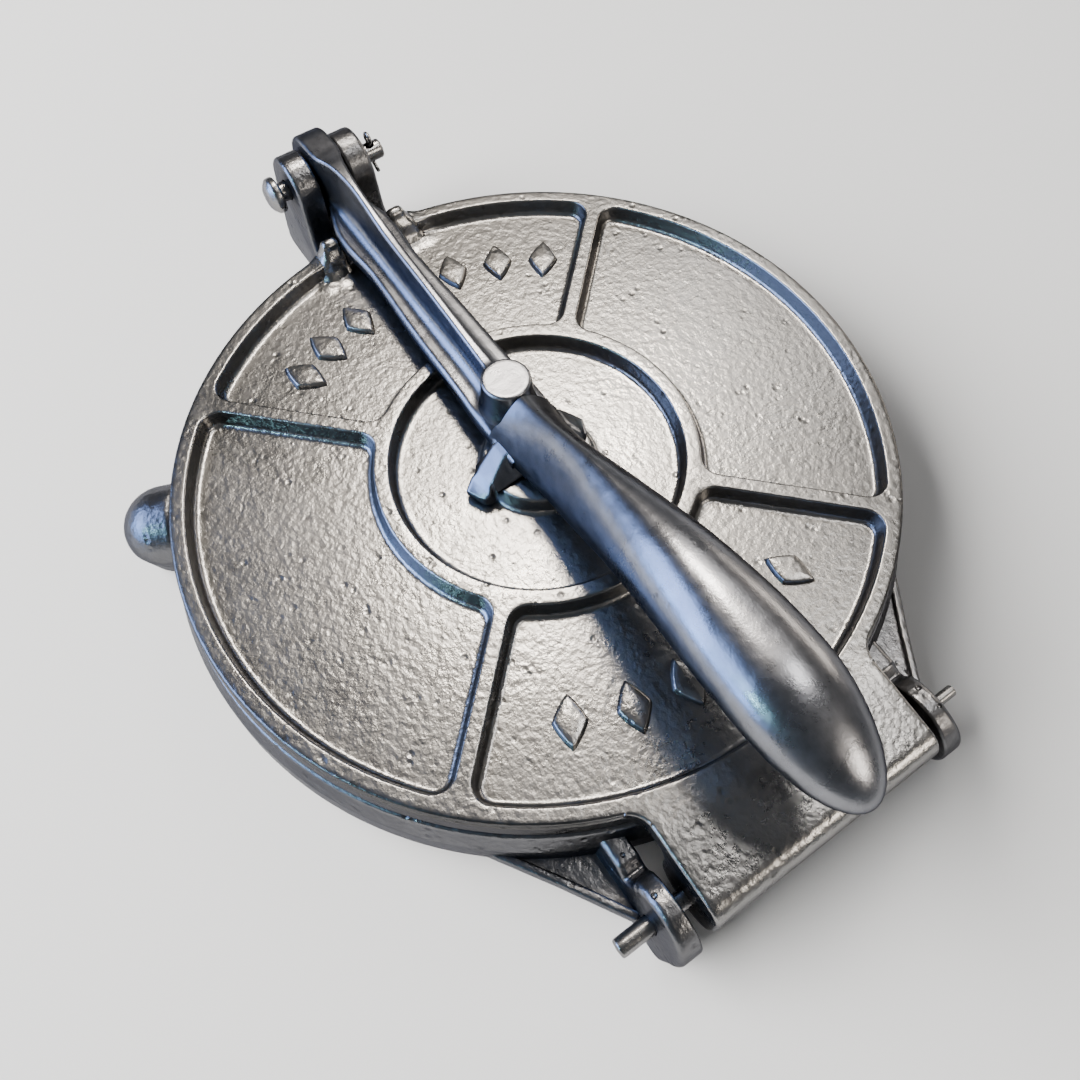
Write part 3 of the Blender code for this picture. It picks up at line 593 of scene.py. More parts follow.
leverValues = {
    "pivot": (-0.1193, 0.0405),
    "bore": 0.0033,
    "eyeHalf": 0.0045,
    "eyeEdge": 0.0013,
    "slabLength": 0.013,       # over which the slab at the eye eases into the ribbed neck
    "fineEnd": -0.1,           # the neck's rows stand closer before this x
    "bossX": -0.014,
    "bossTop": 0.05,
    "bossLow": 0.0345,
    "bossRadius": 0.0068,
    "tipStart": 0.092,
    "tipLength": 0.0325,
    "frontLean": 0.0018,       # how far the grip's foot leans back, below leanTop
    "leanTop": 0.044,
    "hubHeight": 0.041,
    "fillet": 0.003,
}

# Neck: x, half width of the flange, underside, top, half thickness of the web, flange thickness.
neckTable = [
    (-0.1193, 0.0045, 0.0275, 0.0535, 0.0045, 0.0052),
    (-0.1160, 0.0045, 0.0279, 0.0536, 0.0044, 0.0052),
    (-0.1120, 0.0045, 0.0298, 0.0538, 0.0039, 0.0052),
    (-0.1090, 0.0048, 0.0324, 0.0541, 0.0031, 0.0050),
    (-0.1055, 0.0062, 0.0331, 0.0545, 0.0024, 0.0048),
    (-0.0995, 0.0081, 0.0330, 0.0544, 0.0016, 0.0046),
    (-0.0760, 0.0081, 0.0330, 0.0502, 0.0014, 0.0046),
    (-0.0520, 0.0091, 0.0330, 0.0484, 0.0013, 0.0046),
    (-0.0280, 0.0096, 0.0330, 0.0466, 0.0015, 0.0050),
    (-0.0120, 0.0101, 0.0330, 0.0464, 0.0022, 0.0052),
    (0.0020, 0.0092, 0.0332, 0.0464, 0.0030, 0.0052),
]

# Cross bar from its left end to its right one: x and y of the edge towards the clevis, x and y
# of the edge towards the hinge, underside, top, and how far each edge draws in towards the top.
barTable = [
    (-0.0022, -0.0220, 0.0044, -0.0193, 0.0272, 0.0303, 0.0004, 0.0004),
    (-0.0048, -0.0195, 0.0050, -0.0180, 0.0272, 0.0316, 0.0013, 0.0010),
    (-0.0062, -0.0173, 0.0050, -0.0168, 0.0272, 0.0333, 0.0024, 0.0024),
    (-0.0066, -0.0162, 0.0050, -0.0160, 0.0313, 0.0340, 0.0026, 0.0028),
    (-0.0082, -0.0108, 0.0052, -0.0106, 0.0313, 0.0380, 0.0026, 0.0052),
    (-0.0086, -0.0070, 0.0052, -0.0070, 0.0313, 0.0400, 0.0026, 0.0050),
    (-0.0086, 0.0070, 0.0052, 0.0070, 0.0313, 0.0400, 0.0026, 0.0050),
    (-0.0072, 0.0108, 0.0052, 0.0104, 0.0313, 0.0376, 0.0020, 0.0046),
    (-0.0046, 0.0136, 0.0050, 0.0124, 0.0313, 0.0350, 0.0012, 0.0020),
    (-0.0019, 0.0157, 0.0040, 0.0136, 0.0313, 0.0329, 0.0005, 0.0005),
]

# Grip: x, half width, underside, height of the widest place, top, and the power of the
# section's upper half and of its lower one.
gripTable = [
    (-0.0065, 0.0102, 0.0330, 0.0360, 0.0504, 1.45, 5.00),
    (-0.0020, 0.0097, 0.0330, 0.0362, 0.0514, 1.45, 4.60),
    (0.0050, 0.0089, 0.0330, 0.0375, 0.0538, 1.48, 4.20),
    (0.0120, 0.0084, 0.0334, 0.0400, 0.0566, 1.50, 3.40),
    (0.0200, 0.0086, 0.0342, 0.0430, 0.0596, 1.55, 3.00),
    (0.0280, 0.0092, 0.0356, 0.0465, 0.0623, 1.65, 2.60),
    (0.0400, 0.0099, 0.0392, 0.0520, 0.0659, 1.80, 2.40),
    (0.0540, 0.0112, 0.0442, 0.0570, 0.0697, 1.95, 2.25),
    (0.0680, 0.0124, 0.0480, 0.0600, 0.0720, 2.05, 2.15),
    (0.0820, 0.0133, 0.0506, 0.0620, 0.0731, 2.10, 2.10),
    (0.0920, 0.0134, 0.0520, 0.0628, 0.0736, 2.10, 2.10),
    (0.1245, 0.0134, 0.0477, 0.0585, 0.0693, 2.10, 2.10),
]


# Points on half of a section: a line with rounded corners, each straight run cut into its own
# count of steps, so that every row of a loft has the same points.
def halfSection(corners, radii, counts):
    line = roundedLine(corners, radii, 6)
    pieces, index = [line[:1]], 0
    for count in counts:
        t = np.linspace(0, 1, count + 2)[1:, None]
        pieces.append(line[index] + (line[index + 1] - line[index]) * t)
        pieces.append(line[index + 2:index + 8])
        index += 7
    return np.vstack(pieces)


# Neck: a web that stands on a wide flange. Towards the pivot its section eases into a plain
# slab, and the upper half of the last one turns about the pivot to close the round eye.
def neckGrids(table, values):
    pivotX, pivotZ = values["pivot"]
    half, edge, fineEnd = values["eyeHalf"], values["eyeEdge"], values["fineEnd"]
    x = np.concatenate((np.linspace(pivotX, fineEnd, 30)[:-1],
                        np.linspace(fineEnd, table[-1][0], 100)))
    rows = []
    for place, (width, low, high, web, flange) in zip(x, tableAt(table, x)):
        room = max(width - web, 0.0003)
        ledge = low + flange
        corners = [(0, low), (width, low), (width, ledge), (web + room * 0.1, ledge),
                   (web, high), (0, high)]
        radii = [min(most, room * share)
                 for most, share in ((0.0012, 0.35), (0.0018, 0.35), (0.0042, 0.52))]
        ribbed = halfSection(corners, [*radii, 0.001], (6, 3, 5, 11, 6))
        corners = [(0, low), (half, low), (half, high), (0, high)]
        slab = halfSection(corners, (edge, edge), (6, 33, 6))
        share = min((place - pivotX) / values["slabLength"], 1)
        side = slab + (ribbed - slab) * share * share * (3 - 2 * share)
        ring = np.vstack((side, side[-2:0:-1] * (-1, 1)))
        rows.append(np.column_stack((np.full(len(ring), place), ring)))
    grid = np.array(rows)
    end = np.repeat(grid[-1:].mean(axis=1, keepdims=True), grid.shape[1], axis=1)
    upper = grid[0, 30:91]
    reach = upper[:, 2] - pivotZ
    turn = np.linspace(math.pi / 2, 1.5 * math.pi, 60)[:, None]
    across = np.repeat(upper[None, :, 1], len(turn), axis=0)
    eye = np.stack((pivotX + reach * np.cos(turn), across, pivotZ + reach * np.sin(turn)), axis=-1)
    return [(np.vstack((grid, end)), True), (eye, False)]


# Grip: |y / w|^n + |(z - m) / h|^n = 1 with its own power above and below the widest place.
# The tip closes as an ellipse: the section shrinks by the cosine while x runs on by the sine.
# The front leans back at the foot and is slightly hollow.
def gripGrid(table, values, columns=96):
    start, length = values["tipStart"], values["tipLength"]
    body = np.linspace(table[0][0], start, 140)
    turn = np.linspace(0, math.pi / 2, 34)[1:]
    x = np.concatenate((body, start + length * np.sin(turn)))
    shrink = np.concatenate((np.ones(len(body)), np.cos(turn)))[:, None]
    width, low, middle, high, upper, lower = [line[:, None] for line in tableAt(table, x).T]
    angle = np.linspace(-math.pi / 2, 1.5 * math.pi, columns, endpoint=False)[None]
    sine = np.sin(angle)
    power = 2 / np.where(sine > 0, upper, lower)
    reach = np.where(sine > 0, high - middle, middle - low)
    y = shrink * width * raised(np.cos(angle), power)
    z = middle + shrink * reach * raised(sine, power)
    lean = np.clip((values["leanTop"] - z) / 0.004, 0, 1)
    lean = lean * np.clip((0.008 - x[:, None]) / 0.014, 0, 1)
    grid = np.stack((x[:, None] - values["frontLean"] * lean, y, z), axis=-1)
    front = grid[0]
    hub = np.array((front[:, 0].mean(), 0, values["hubHeight"]))
    share = np.array((0, 0.5, 0.85, 0.97))[:, None, None]
    sink = np.array((0.001, 0.0008, 0.0004, 0))[:, None, None] * (1, 0, 0)
    return np.vstack((hub + (front - hub) * share + sink, grid))


# Stop boss: a turned profile that widens a little on the way down.
def leverBoss(values):
    radius, top, low = values["bossRadius"], values["bossTop"], values["bossLow"]
    line = [(0, top), (radius, top), (radius + 0.0002, top - 0.004), (radius + 0.0012, low),
            (0, low)]
    line = refined(roundedLine(line, (0.0009, 0.004, 0.0003), 5), 0.0008)
    return buildPiece("boss", [(turnedGrid(line, fullTurn(72)) + (values["bossX"], 0, 0), True)])


# Cross bar: a nearly square section |u|^n + |v|^n = 1 with n = 2 / 0.3, carried through the
# stations, its ends drawn to a point.
def crossBar(table):
    table = np.array(table)
    at = np.linspace(0, len(table) - 1, 91)
    nearX, nearY, farX, farY, low, high, nearIn, farIn = [
        np.interp(at, np.arange(len(table)), column)[:, None] for column in table.T]
    angle = fullTurn(48)
    side, rise = (1 + raised(np.cos(angle), 0.3)) / 2, (1 + raised(np.sin(angle), 0.3)) / 2
    x = nearX + nearIn * rise + (farX - nearX - (nearIn + farIn) * rise) * side
    grid = np.stack((x, nearY + (farY - nearY) * side, low + (high - low) * rise), axis=-1)
    shrink = np.array((0, 0.5, 0.8, 0.94))[:, None, None]
    push = np.array((0.0005, 0.0005, 0.0004, 0.0002))[:, None, None] * (0, 1, 0)
    first, last = grid[0].mean(axis=0), grid[-1].mean(axis=0)
    start = first + (grid[0] - first) * shrink - push
    end = last + (grid[-1] - last) * shrink + push
    return buildPiece("crossBar", [(np.vstack((start, grid, end[::-1])), True)])


# Neck, boss, grip and cross bar as one casting. Before they join, the neck and the boss swell
# where they come near each other and near the grip's front section.
def makeLever():
    values = leverValues
    fillet, bossTop, bossFoot = values["fillet"], values["bossTop"], 0.03
    lever = buildPiece("leverArm", neckGrids(neckTable, values))
    boss = leverBoss(values)
    grip = buildPiece("grip", [(gripGrid(gripTable, values), True)])

    def bossField(points):
        side = np.linalg.norm((points - (values["bossX"], 0, 0))[:, :2], axis=1)
        end = np.abs(points[:, 2] - (bossFoot + bossTop) / 2) - (bossTop - bossFoot) / 2
        return gapDistance(side - (values["bossRadius"] + 0.0002), end)

    def gripField(points):
        (front, half), (middle, high, power) = gripTable[0][:2], gripTable[0][3:6]
        rise = np.clip((points[:, 2] - middle) / (high - middle), 0, 1)
        width = half * np.clip(1 - rise**power, 0, 1) ** (1 / power)
        y = np.abs(points[:, 1])
        return np.hypot(np.maximum(front - points[:, 0], 0), np.maximum(y - width, 0))

    def neckField(points):
        row = tableAt(neckTable, np.clip(points[:, 0], neckTable[0][0], neckTable[-1][0]))
        width, low, high, web, flange = row.T
        y, z = np.abs(points[:, 1]), points[:, 2]
        flangeGap = np.hypot(np.maximum(y - width, 0), np.maximum(z - low - flange, 0))
        webGap = np.hypot(np.maximum(y - web, 0), np.maximum(z - high, 0))
        return np.minimum(flangeGap, webGap)

    def belowCrown(points):
        return points[:, 2] < bossTop - 0.001

    swell(lever, bossField, fillet)
    swell(lever, gripField, fillet)
    swell(boss, neckField, fillet)
    swell(boss, gripField, fillet, belowCrown)
    for part in (boss, grip, crossBar(barTable)):
        combine(lever, part)
    boreHole(lever, values["bore"], 0.01, values["pivot"])
    return lever


baseValues = {
    "topRadius": 0.101,
    "skirtRadius": 0.1035,
    "top": 0.0225,
    "under": 0.0163,
    "low": 0.0075,
    "wall": 0.0045,
    # each foot: side, distance, radius, height
    "feet": ((-1, 0.107, 0.012, 0.0105), (1, 0.1032, 0.011, 0.01)),
    "footAngle": 118.5,
    "footTaper": 0.0028,
    "earRadius": 0.0098,
    "earInner": 0.0052,
    "earOuter": 0.0143,      # at the table; the outer faces lean in by earLean
    "earLean": 0.03,
    "slotFloor": 0.024,
    "notch": (0.1013, 0.14, 0.0426),    # x from and to, and half width, between the lugs
    "lugRadius": 0.0117,
    "lugInner": 0.0386,
    "lugOuter": 0.04725,     # at the table; the outer faces lean in by lugLean
    "lugLean": 0.13,
    "dimples": ((0.1095, -0.0422, 0.0246, 0.0009), (0.0976, -0.042, 0.0184, 0.0007),
                (0.1085, 0.0418, 0.0243, 0.0009), (0.115, 0.0425, 0.0248, 0.0007)),
    "fillet": 0.005,
}


# Plate with a skirt: one profile of (radius, height) turned about the upright axis.
def basePlate(values):
    top, low, under = values["top"], values["low"], values["under"]
    rim, skirt = values["topRadius"], values["skirtRadius"]
    inner = skirt - values["wall"]
    line = roundedLine(
        [(0.088, top), (rim, top), (rim + 0.001, top - 0.0035), (skirt - 0.0004, top - 0.007),
         (skirt, low + 0.0012), (skirt - 0.0012, low), (inner, low),
         (inner - 0.0007, under - 0.0018), (inner - 0.003, under), (0.088, under)],
        (0.0011, 0.004, 0.004, 0.001, 0.0008, 0.001, 0.002, 0.002), 4)
    line = np.vstack(([(0, top), (0.05, top)], refined(line, 0.0013),
                      [(0.05, under), (0, under)]))
    return buildPiece("lowerPlate", [(turnedGrid(line, fullTurn(480)), True)])


# Middle of a foot, from its distance and its angle round the plate.
def footSpot(values, side, distance, height):
    angle = math.radians(values["footAngle"]) * side
    return np.array((distance * math.cos(angle), distance * math.sin(angle), height))


# Foot: a quarter circle for the dome, then a side that tapers to a rounded edge on the table.
def baseFoot(values, side, distance, radius, height):
    bottom = radius - values["footTaper"]
    dome = arcLine((0, height), radius, 90, 0, 22)
    below = roundedLine([(radius, height), (bottom + 0.0002, 0), (0, 0)], (0.0012,), 5)
    line = np.vstack((dome, refined(below[1:], 0.0012)))
    line[:, 0] = np.maximum(line[:, 0], 0)
    spot = footSpot(values, side, distance, 0)
    return buildPiece("foot", [(turnedGrid(line, fullTurn(64)) + spot, True)])


# Side outline of the clevis, clockwise: up the outer side, over the ear, down to the plate.
# With a height it stops flat there, for the post between the ears.
def clevisLine(values, high=None):
    corners = [(-0.1329, 0.016), (-0.133, 0.0106), (-0.1312, 0.0084), (-0.125, 0.0078),
               (-0.103, 0.0078), (-0.1, 0.0085), (-0.096, 0.0095), (-0.096, 0.0195),
               (-0.105, 0.02), (-0.1083, 0.0222), (-0.1094, 0.0262)]
    radii = [0.02, 0.0024, 0.003, 0.006, 0.003, 0.003, 0.002, 0.002, 0.004, 0.004, 0.006]
    if high is None:
        crown = arcLine(leverValues["pivot"], values["earRadius"], 172, 2, 48)
    else:
        crown = np.array(((-0.1317, high), (-0.1092, high)))
        corners, radii = corners[:-1], radii[:-1]
    under = roundedLine([crown[0], *corners, crown[-1]], radii, 5)
    return np.vstack((crown, refined(under, 0.0015)[::-1][1:-1]))


# Two ears carried across with their outer faces leaning in, and a post between them, a little
# smaller all round so that no faces coincide.
def addClevis(base, values):
    line = clevisLine(values)
    outer, lean, inner = values["earOuter"], values["earLean"], values["earInner"]
    left, right = ((-outer, lean), (-inner, 0)), ((inner, 0), (outer, -lean))
    combine(base, carriedPiece("ear", line, left, (0.0014, 0.001)))
    combine(base, carriedPiece("ear", line, right, (0.001, 0.0014)))
    post = clevisLine(values, values["slotFloor"])
    middle = post.mean(axis=0)
    post = middle + (post - middle) * 0.996
    combine(base, carriedPiece("post", post, ((-0.0078, 0), (0.0078, 0)), (0.0001, 0.0001)))


# Side outline of a hinge lug, clockwise from the arm's inner top corner.
def lugLine(values):
    crown = arcLine(tabValues["hinge"], values["lugRadius"], 137, -32, 52)
    start = [(0.085, 0.0134), (0.085, 0.0183), (0.0996, 0.0183), (0.1022, 0.016),
             (0.1033, 0.0172), crown[0]]
    start = roundedLine(start, (0.0022, 0.002, 0.0006, 0.0012), 4)
    end = [crown[-1], (0.1213, 0.0016), (0.1195, 0), (0.1062, 0), (0.1, 0.0045),
           (0.085, 0.0085), (0.085, 0.0134)]
    end = roundedLine(end, (0.0024, 0.0022, 0.003, 0.01, 0.0022), 4)
    return np.vstack((refined(start, 0.0014)[:-1], crown, refined(end, 0.0014)[1:-1]))


# The lug's outline carried across, and a low web with a raised lip back to the plate.
def addLug(base, values, side):
    faces = ((values["lugInner"], 0), (values["lugOuter"], -values["lugLean"]))
    edges = (0.0008, 0.0017)
    if side < 0:
        faces = [(-start, -lean) for start, lean in faces[::-1]]
        edges = edges[::-1]
    combine(base, carriedPiece("lug", lugLine(values), faces, edges))
    web = [(0.074, 0.0655), (0.0762, 0.0681), (0.0938, 0.0568), (0.1095, 0.047),
           (0.1095, 0.044), (0.085, 0.044)]
    lip = [(0.0755, 0.0668), (0.0765, 0.0688), (0.094, 0.0575), (0.111, 0.0472),
           (0.1102, 0.045), (0.093, 0.0554)]
    for outline, low, high, edge in ((web, 0.0059, 0.0097, 0.0005), (lip, 0.006, 0.0114, 0.0008)):
        plan = roundedLine(outline + outline[:1], [0.0009] * (len(outline) - 1), 4)
        plan = refined(plan[:-1], 0.003)
        combine(base, flatPiece("web", plan, side, low, high, (edge, edge), 3))


# Plate, feet, clevis and lugs as one casting, with a notch between the lugs, the bores, a few
# casting dimples, and a fillet along the skirt where something is cast against it.
def makeBase():
    values = baseValues
    base = basePlate(values)
    for foot in values["feet"]:
        combine(base, baseFoot(values, *foot))
    addClevis(base, values)
    start, end, half = values["notch"]
    corners = np.array(((start, -half), (start, half), (end, half), (end, -half)))
    notch = flatPiece("notch", corners, 1, -0.001, values["top"] - 0.001, (0, 0), 1)
    combine(base, notch, "DIFFERENCE")
    for side in (-1, 1):
        addLug(base, values, side)

    # the farther of the skirt and of the nearest foot or ear
    def skirtSeam(points):
        skirt = np.abs(np.hypot(points[:, 0], points[:, 1]) - values["skirtRadius"])
        near = np.full(len(points), 1.0)
        for side, distance, radius, height in values["feet"]:
            offset = points - footSpot(values, side, distance, height)
            flat = np.hypot(offset[:, 0], offset[:, 1])
            body = np.where(offset[:, 2] > 0, np.linalg.norm(offset, axis=1), flat)
            near = np.minimum(near, np.abs(body - radius))
        width = values["earOuter"] - values["earLean"] * points[:, 2]
        clevis = np.maximum(np.abs(np.abs(points[:, 1]) - width),
                            np.clip(points[:, 0] + 0.09, 0, 1) * 9)
        return np.maximum(skirt, np.minimum(near, clevis))

    boreHole(base, leverValues["bore"], 0.02, leverValues["pivot"])
    boreHole(base, tabValues["bore"], 0.06, tabValues["hinge"])
    for x, y, z, radius in values["dimples"]:
        ball = turnedGrid(arcLine((0, 0), radius, 90, -90, 12), fullTurn(20)) + (x, y, z)
        combine(base, buildPiece("dimple", [(ball, True)]), "DIFFERENCE")
    swell(base, skirtSeam, values["fillet"])
    return base


pinValues = {
    "leverRadius": 0.003,
    "headRadius": 0.0056,
    "headThickness": 0.0045,
    "headPlace": -0.0158,
    "leverEnd": 0.02,
    "splitPlace": 0.0164,
    "splitHole": 0.0016,
    "splitWire": 0.0006,
    "hingeRadius": 0.0025,
    "hingeInner": 0.018,
    "hingeOuter": 0.055,
    "stubRadius": 0.0016,    # the right pin's end is worn thin outside its lug
    "stubStart": 0.0472,
}


# Pin along Y at the place (x, z), turned from a profile of (radius, distance along the pin).
def pinPiece(name, line, place, sign, steps):
    grid = turnedGrid(line, fullTurn(steps))
    x, y, z = grid[..., 0] + place[0], grid[..., 2] * sign, grid[..., 1] + place[1]
    return buildPiece(name, [(np.stack((x, y, z), axis=-1), True)])


# Lever pin: domed head, plain shank, and an upright hole for the split pin.
def makeLeverPin(values):
    shank, head, place = values["leverRadius"], values["headRadius"], values["headPlace"]
    crown, end, pivot = place - values["headThickness"], values["leverEnd"], leverValues["pivot"]
    corners = [(0, crown), (head * 0.6, crown + 0.0003), (head, crown + 0.0022), (head, place),
               (shank, place), (shank, end), (0, end)]
    line = refined(roundedLine(corners, (0.004, 0.0016, 0.0008, 0.0006, 0.0008), 6), 0.0015)
    pin = pinPiece("leverPin", line, pivot, 1, 64)
    spot = (pivot[0], values["splitPlace"], 0)
    combine(pin, rodPiece("hole", values["splitHole"], 0.03, 0.05, spot, 2, 32), "DIFFERENCE")
    return pin


# Wire bent along a route of (x, z): each ring is route + r * (cos a * side + sin a * Y), and
# the rings shrink to a point at both ends.
def makeSplitPin(values):
    wire, pivotX, pivotZ = values["splitWire"], *leverValues["pivot"]
    gap, shank = wire + 0.0001, values["leverRadius"]
    loop = arcLine((0, shank + 0.0022), 0.0016, 228, -48, 22)
    down = [(-0.0042, -0.0056), (-0.0026, -0.005), (-gap, -0.0036), (-gap, shank)]
    up = [(gap, shank), (gap, -0.0036), (0.0024, -0.0048), (0.0036, -0.0052)]
    down, up = roundedLine(down, (0.0015, 0.0012), 5), roundedLine(up, (0.0012, 0.0015), 5)
    route = refined(np.vstack((down, loop, up)), 0.0008)
    side = sideways(np.gradient(route, axis=0))
    steps = np.array((0, 0.45, 0.8, 0.95))
    shrink = np.concatenate((steps, np.ones(len(route)), steps[::-1]))[:, None]
    route, side = [np.vstack((line[[0] * 4], line, line[[-1] * 4])) for line in (route, side)]
    angle = fullTurn(16)[None]
    x = route[:, :1] + wire * shrink * np.cos(angle) * side[:, :1]
    z = route[:, 1:] + wire * shrink * np.cos(angle) * side[:, 1:]
    y = values["splitPlace"] + wire * shrink * np.sin(angle)
    return buildPiece("splitPin", [(np.stack((x + pivotX, y, z + pivotZ), axis=-1), True)])


# Hinge pin: a plain wire with rounded ends; the right one steps down to its stub.
def makeHingePin(values, sign):
    radius, inner, outer = values["hingeRadius"], values["hingeInner"], values["hingeOuter"]
    corners = [(0, inner), (radius, inner), (radius, outer - 0.0003), (0, outer)]
    if sign > 0:
        stub, start = values["stubRadius"], values["stubStart"]
        corners[2:] = [(radius, start), (stub, start + 0.0009), (stub, outer - 0.0012),
                       (0, outer - 0.0009)]
    radii = (0.0003, 0.0007, 0.0004, 0.0005)[:len(corners) - 2]
    line = refined(roundedLine(corners, radii, 5), 0.0015)
    return pinPiece("hingePin", line, tabValues["hinge"], sign, 48)


# Colour, its tint at grazing angles, how far clouds and speckles change its tone, roughness,
# and the scale and depth in millimetres of the swells, the pits (with their share) and the grain.
# The lid's side entry paints shade on the plate's outer wall: from its first radius to its second
# the colour falls to the share given.
metalValues = {
    "tinned": {"color": (0.235, 0.23, 0.222), "edge": 0.45, "tone": (0.88, 1.1), "speckle": 0.03,
               "roughness": (0.24, 0.34), "peel": (560, 0.18), "pits": (360, 0.13, 0.66),
               # side: painted shade, the lid's outer wall painted darker between two radii
               "grain": (2200, 0.02), "cloud": 26, "side": (0.0984, 0.0996, 0.4)},
    "lever": {"color": (0.2, 0.203, 0.216), "edge": 0.16, "tone": (0.78, 1.16), "speckle": 0.08,
              "roughness": (0.24, 0.34), "peel": (170, 0.14), "pits": (520, 0.06, 0.76),
              "grain": (1700, 0.025), "cloud": 34},
    "base": {"color": (0.15, 0.15, 0.154), "edge": 0.36, "tone": (0.82, 1.12), "speckle": 0.04,
             "roughness": (0.25, 0.36), "peel": (560, 0.2), "pits": (360, 0.18, 0.6),
             "grain": (2400, 0.03), "cloud": 36},
    "pin": {"color": (0.25, 0.245, 0.24), "edge": 0.5, "tone": (0.8, 1.12), "speckle": 0.05,
            "roughness": (0.2, 0.34), "peel": (800, 0.05), "pits": (900, 0.05, 0.7),
            "grain": (3800, 0.02), "cloud": 160},
}


# Makes shader nodes and sets or links their inputs, by name or as i0, i1 by number.
class Nodes:
    def __init__(self, material):
        self.tree = material.node_tree

    def add(self, kind, operation=None, **inputs):
        node = self.tree.nodes.new("ShaderNode" + kind)
        if operation:
            node.operation = operation
        for name, value in inputs.items():
            self.set(node, name.replace("_", " "), value)
        return node

    def set(self, node, name, value):
        socket = node.inputs[int(name[1:]) if name[1:].isdigit() else name]
        if hasattr(value, "is_output"):
            self.tree.links.new(value, socket)
        else:
            socket.default_value = value

    def math(self, operation, first, second):
        return self.add("Math", operation, i0=first, i1=second).outputs[0]

    def noise(self, place, scale, detail, rough=0.5):
        node = self.add("TexNoise", Vector=place, Scale=scale, Detail=detail, Roughness=rough)
        return node.outputs["Fac"]

    def ramp(self, value, low, high, first, last):
        return self.add("MapRange", Value=value, From_Min=low, From_Max=high, To_Min=first,
                        To_Max=last).outputs[0]


# Tinned casting: orange-peel swells, sparse pits where a noise lets them through, fine grain,
# and slow clouds that change its tone and its gloss; for the lid also painted shade that
# darkens the plate's outer wall, short of the tab.
def castMetal(name, values):
    material = bpy.data.materials.new(name)
    material.use_nodes = True
    nodes = Nodes(material)
    shader = material.node_tree.nodes["Principled BSDF"]
    edge, specks, millimetre = values["edge"], values["speckle"], 0.001
    shader.inputs["Metallic"].default_value = 1.0
    shader.inputs["Specular Tint"].default_value = (edge, edge, edge * 1.06, 1.0)    # a touch blue
    peelScale, peelDepth = values["peel"]
    pitScale, pitDepth, pitShare = values["pits"]
    grainScale, grainDepth = values["grain"]
    place = nodes.add("TexCoord").outputs["Object"]
    cloud = nodes.noise(place, values["cloud"], 3, 0.6)
    speckle = nodes.noise(place, 330, 4, 0.6)
    peel = nodes.noise(place, peelScale, 3, 0.45)
    choice = nodes.noise(place, pitScale * 0.42, 1)
    grain = nodes.noise(place, grainScale, 2)
    pits = nodes.add("TexVoronoi", Vector=place, Scale=pitScale, Randomness=1)
    hollow = nodes.math("MULTIPLY", nodes.ramp(pits.outputs["Distance"], 0.12, 0.42, 1, 0),
                        nodes.ramp(choice, pitShare - 0.08, pitShare + 0.04, 0, 1))
    height = nodes.math("MULTIPLY", peel, peelDepth)
    height = nodes.math("ADD", height, nodes.math("MULTIPLY", grain, grainDepth))
    height = nodes.math("SUBTRACT", height, nodes.math("MULTIPLY", hollow, pitDepth))
    bump = nodes.add("Bump", Height=height, Strength=1, Distance=millimetre)
    nodes.set(shader, "Normal", bump.outputs["Normal"])
    tone = nodes.math("ADD", nodes.ramp(cloud, 0.3, 0.7, *values["tone"]),
                      nodes.ramp(speckle, 0.35, 0.65, -specks, specks))
    tone = nodes.math("MULTIPLY", tone, nodes.ramp(hollow, 0, 1, 1, 0.7))
    # painted shade: the colour of the plate's outer wall is darkened by a ramp over its radius
    if "side" in values:
        inner, outer, share = values["side"]    # painted shade: the plate's outer wall is painted darker than its top
        offset = nodes.add("VectorMath", "MULTIPLY_ADD", i0=place, i1=(1, 1, 0),
                           i2=(-plateCentre, 0, 0))
        distance = nodes.add("VectorMath", "LENGTH", i0=offset.outputs[0]).outputs["Value"]
        wall = nodes.ramp(distance, inner, outer, 1, share)
        # the painted shade stops short of the hinge tab
        along = nodes.add("SeparateXYZ", Vector=place).outputs["X"]
        tab = nodes.ramp(along, plateCentre + 0.088, plateCentre + 0.094, share, 1)
        tone = nodes.math("MULTIPLY", tone, nodes.math("MAXIMUM", wall, tab))
    color = nodes.add("VectorMath", "SCALE", i0=values["color"], Scale=tone)
    nodes.set(shader, "Base Color", color.outputs[0])
    shiny, dull = values["roughness"]
    rough = nodes.math("ADD", nodes.ramp(cloud, 0.3, 0.7, dull, shiny),
                       nodes.ramp(speckle, 0.3, 0.7, -0.02, 0.03))
    nodes.set(shader, "Roughness", rough)
    return material


# Gives a finished piece its metal and its body, and hides the node it stands for.
def showPiece(piece, material, body, node):
    piece.data.materials.clear()
    piece.data.materials.append(material)
    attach(piece, body)
    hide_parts(node)
    print(piece.name, "built:", len(piece.data.polygons), "faces")


lidMetal = castMetal("tinnedIron", metalValues["tinned"])
leverMetal = castMetal("leverIron", metalValues["lever"])
baseMetal = castMetal("baseIron", metalValues["base"])
pinMetal = castMetal("pinSteel", metalValues["pin"])
print("metals ready")

showPiece(makeBase(), baseMetal, "base", "base")
showPiece(makeLeverPin(pinValues), pinMetal, "base", "lever_pin")
showPiece(makeSplitPin(pinValues), pinMetal, "base", "lever_cotter")
showPiece(makeHingePin(pinValues, -1), pinMetal, "base", "hinge_pin_left")
showPiece(makeHingePin(pinValues, 1), pinMetal, "base", "hinge_pin_right")
showPiece(makeLid(), lidMetal, "lid", "lid")
showPiece(makeLever(), leverMetal, "lever", "lever")

floorValues = {"reach": 4, "level": -0.0002, "color": (0.81, 0.8, 0.785), "roughness": 0.9}


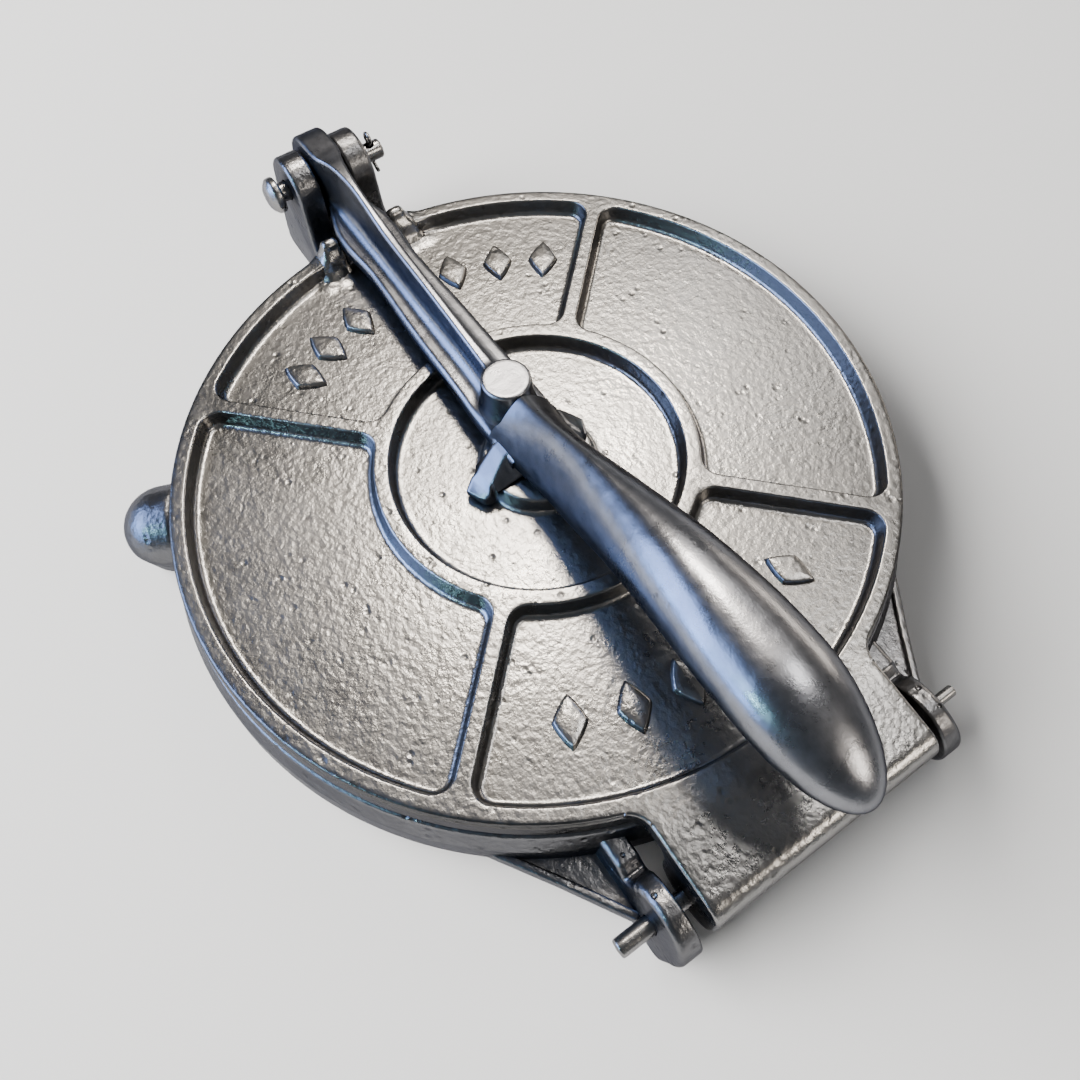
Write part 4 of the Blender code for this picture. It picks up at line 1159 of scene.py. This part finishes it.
# A square sheet under the press, pale and dull.
def makeFloor(values):
    reach = values["reach"]
    mesh = bpy.data.meshes.new("floor")
    corners = [(-reach, -reach, 0), (reach, -reach, 0), (reach, reach, 0), (-reach, reach, 0)]
    mesh.from_pydata(corners, [], [(0, 1, 2, 3)])
    sheet = placed("floor", mesh)
    sheet.location.z = values["level"]
    pale = bpy.data.materials.new("paleFloor")
    pale.use_nodes = True
    shader = pale.node_tree.nodes["Principled BSDF"]
    shader.inputs["Base Color"].default_value = (*values["color"], 1)
    shader.inputs["Roughness"].default_value = values["roughness"]
    mesh.materials.append(pale)
    return sheet


floor = makeFloor(floorValues)

worldValues = {"color": (0.82, 0.86, 0.92), "strength": (0.36, 0.14), "high": 0.55}
aim = (0, 0, 0)    # the middle of the press, on the table

# Each light: place, target, size, power, colour, and whether the floor and the metal see it.
lightValues = {
    "softKey": ((-0.42, 0.25, 0.95), aim, (0.19, 0.2), 10.4, (1, 0.91, 0.8), False, True),
    "backFill": ((-0.5, 0.64, 0.95), aim, (0.34, 0.34), 1.7, (1, 0.97, 0.94), True, True),
    "leftWindow": ((-0.9, -1.5, 1.1), aim, (2.6, 2), 220, (1, 0.995, 0.985), True, False),
    "leftFill": ((-0.5, -0.85, 0.64), aim, (0.8, 0.64), 18, (0.34, 0.5, 1), False, True),
    "coolSide": ((-0.25, -0.95, 0.28), (0, 0, 0.03), (0.8, 0.16), 7, (0.26, 0.46, 1), False, True),
    "paneSpot": ((0.05, -0.9, 0.62), (0.1, 0, 0.05), (0.14, 0.07), 2.2, (0.42, 0.9, 1),
                 False, True),
    "farStrip": ((-0.1, 1, 0.3), (0, 0, 0.04), (0.6, 0.12), 3, (1, 0.88, 0.74), False, True),
    "tipGlow": ((0.85, 0.4, 0.56), (0.1, 0, 0.04), (0.3, 0.22), 3.6, (1, 0.9, 0.78), False, True),
    "tabFill": ((0.12, 0.36, 0.95), (0.1, 0, 0.03), (0.26, 0.2), 2.9, (1, 0.97, 0.94),
                False, True),
}


# Even studio air that grows darker from the horizon up.
def makeWorld(values):
    world = bpy.data.worlds.new("studio")
    bpy.context.scene.world = world
    world.use_nodes = True
    sky = Nodes(world)
    shade = world.node_tree.nodes["Background"]
    shade.inputs["Color"].default_value = (*values["color"], 1)
    height = sky.add("SeparateXYZ", Vector=sky.add("TexCoord").outputs["Generated"]).outputs["Z"]
    sky.set(shade, "Strength", sky.ramp(height, 0, values["high"], *values["strength"]))


# A rectangle of light that faces its target.
def areaLight(name, place, target, size, power, color, onFloor, onMetal):
    data = bpy.data.lights.new(name, "AREA")
    data.shape = "RECTANGLE"
    data.size, data.size_y = size
    data.energy = power
    data.color = color
    light = placed(name, data)
    light.location = place
    light.visible_diffuse = onFloor
    light.visible_glossy = onMetal
    light.rotation_mode = "QUATERNION"
    light.rotation_quaternion = (Vector(target) - Vector(place)).to_track_quat("-Z", "Y")


makeWorld(worldValues)
for name, values in lightValues.items():
    areaLight(name, *values)
print("floor, world and", len(lightValues), "lights ready")
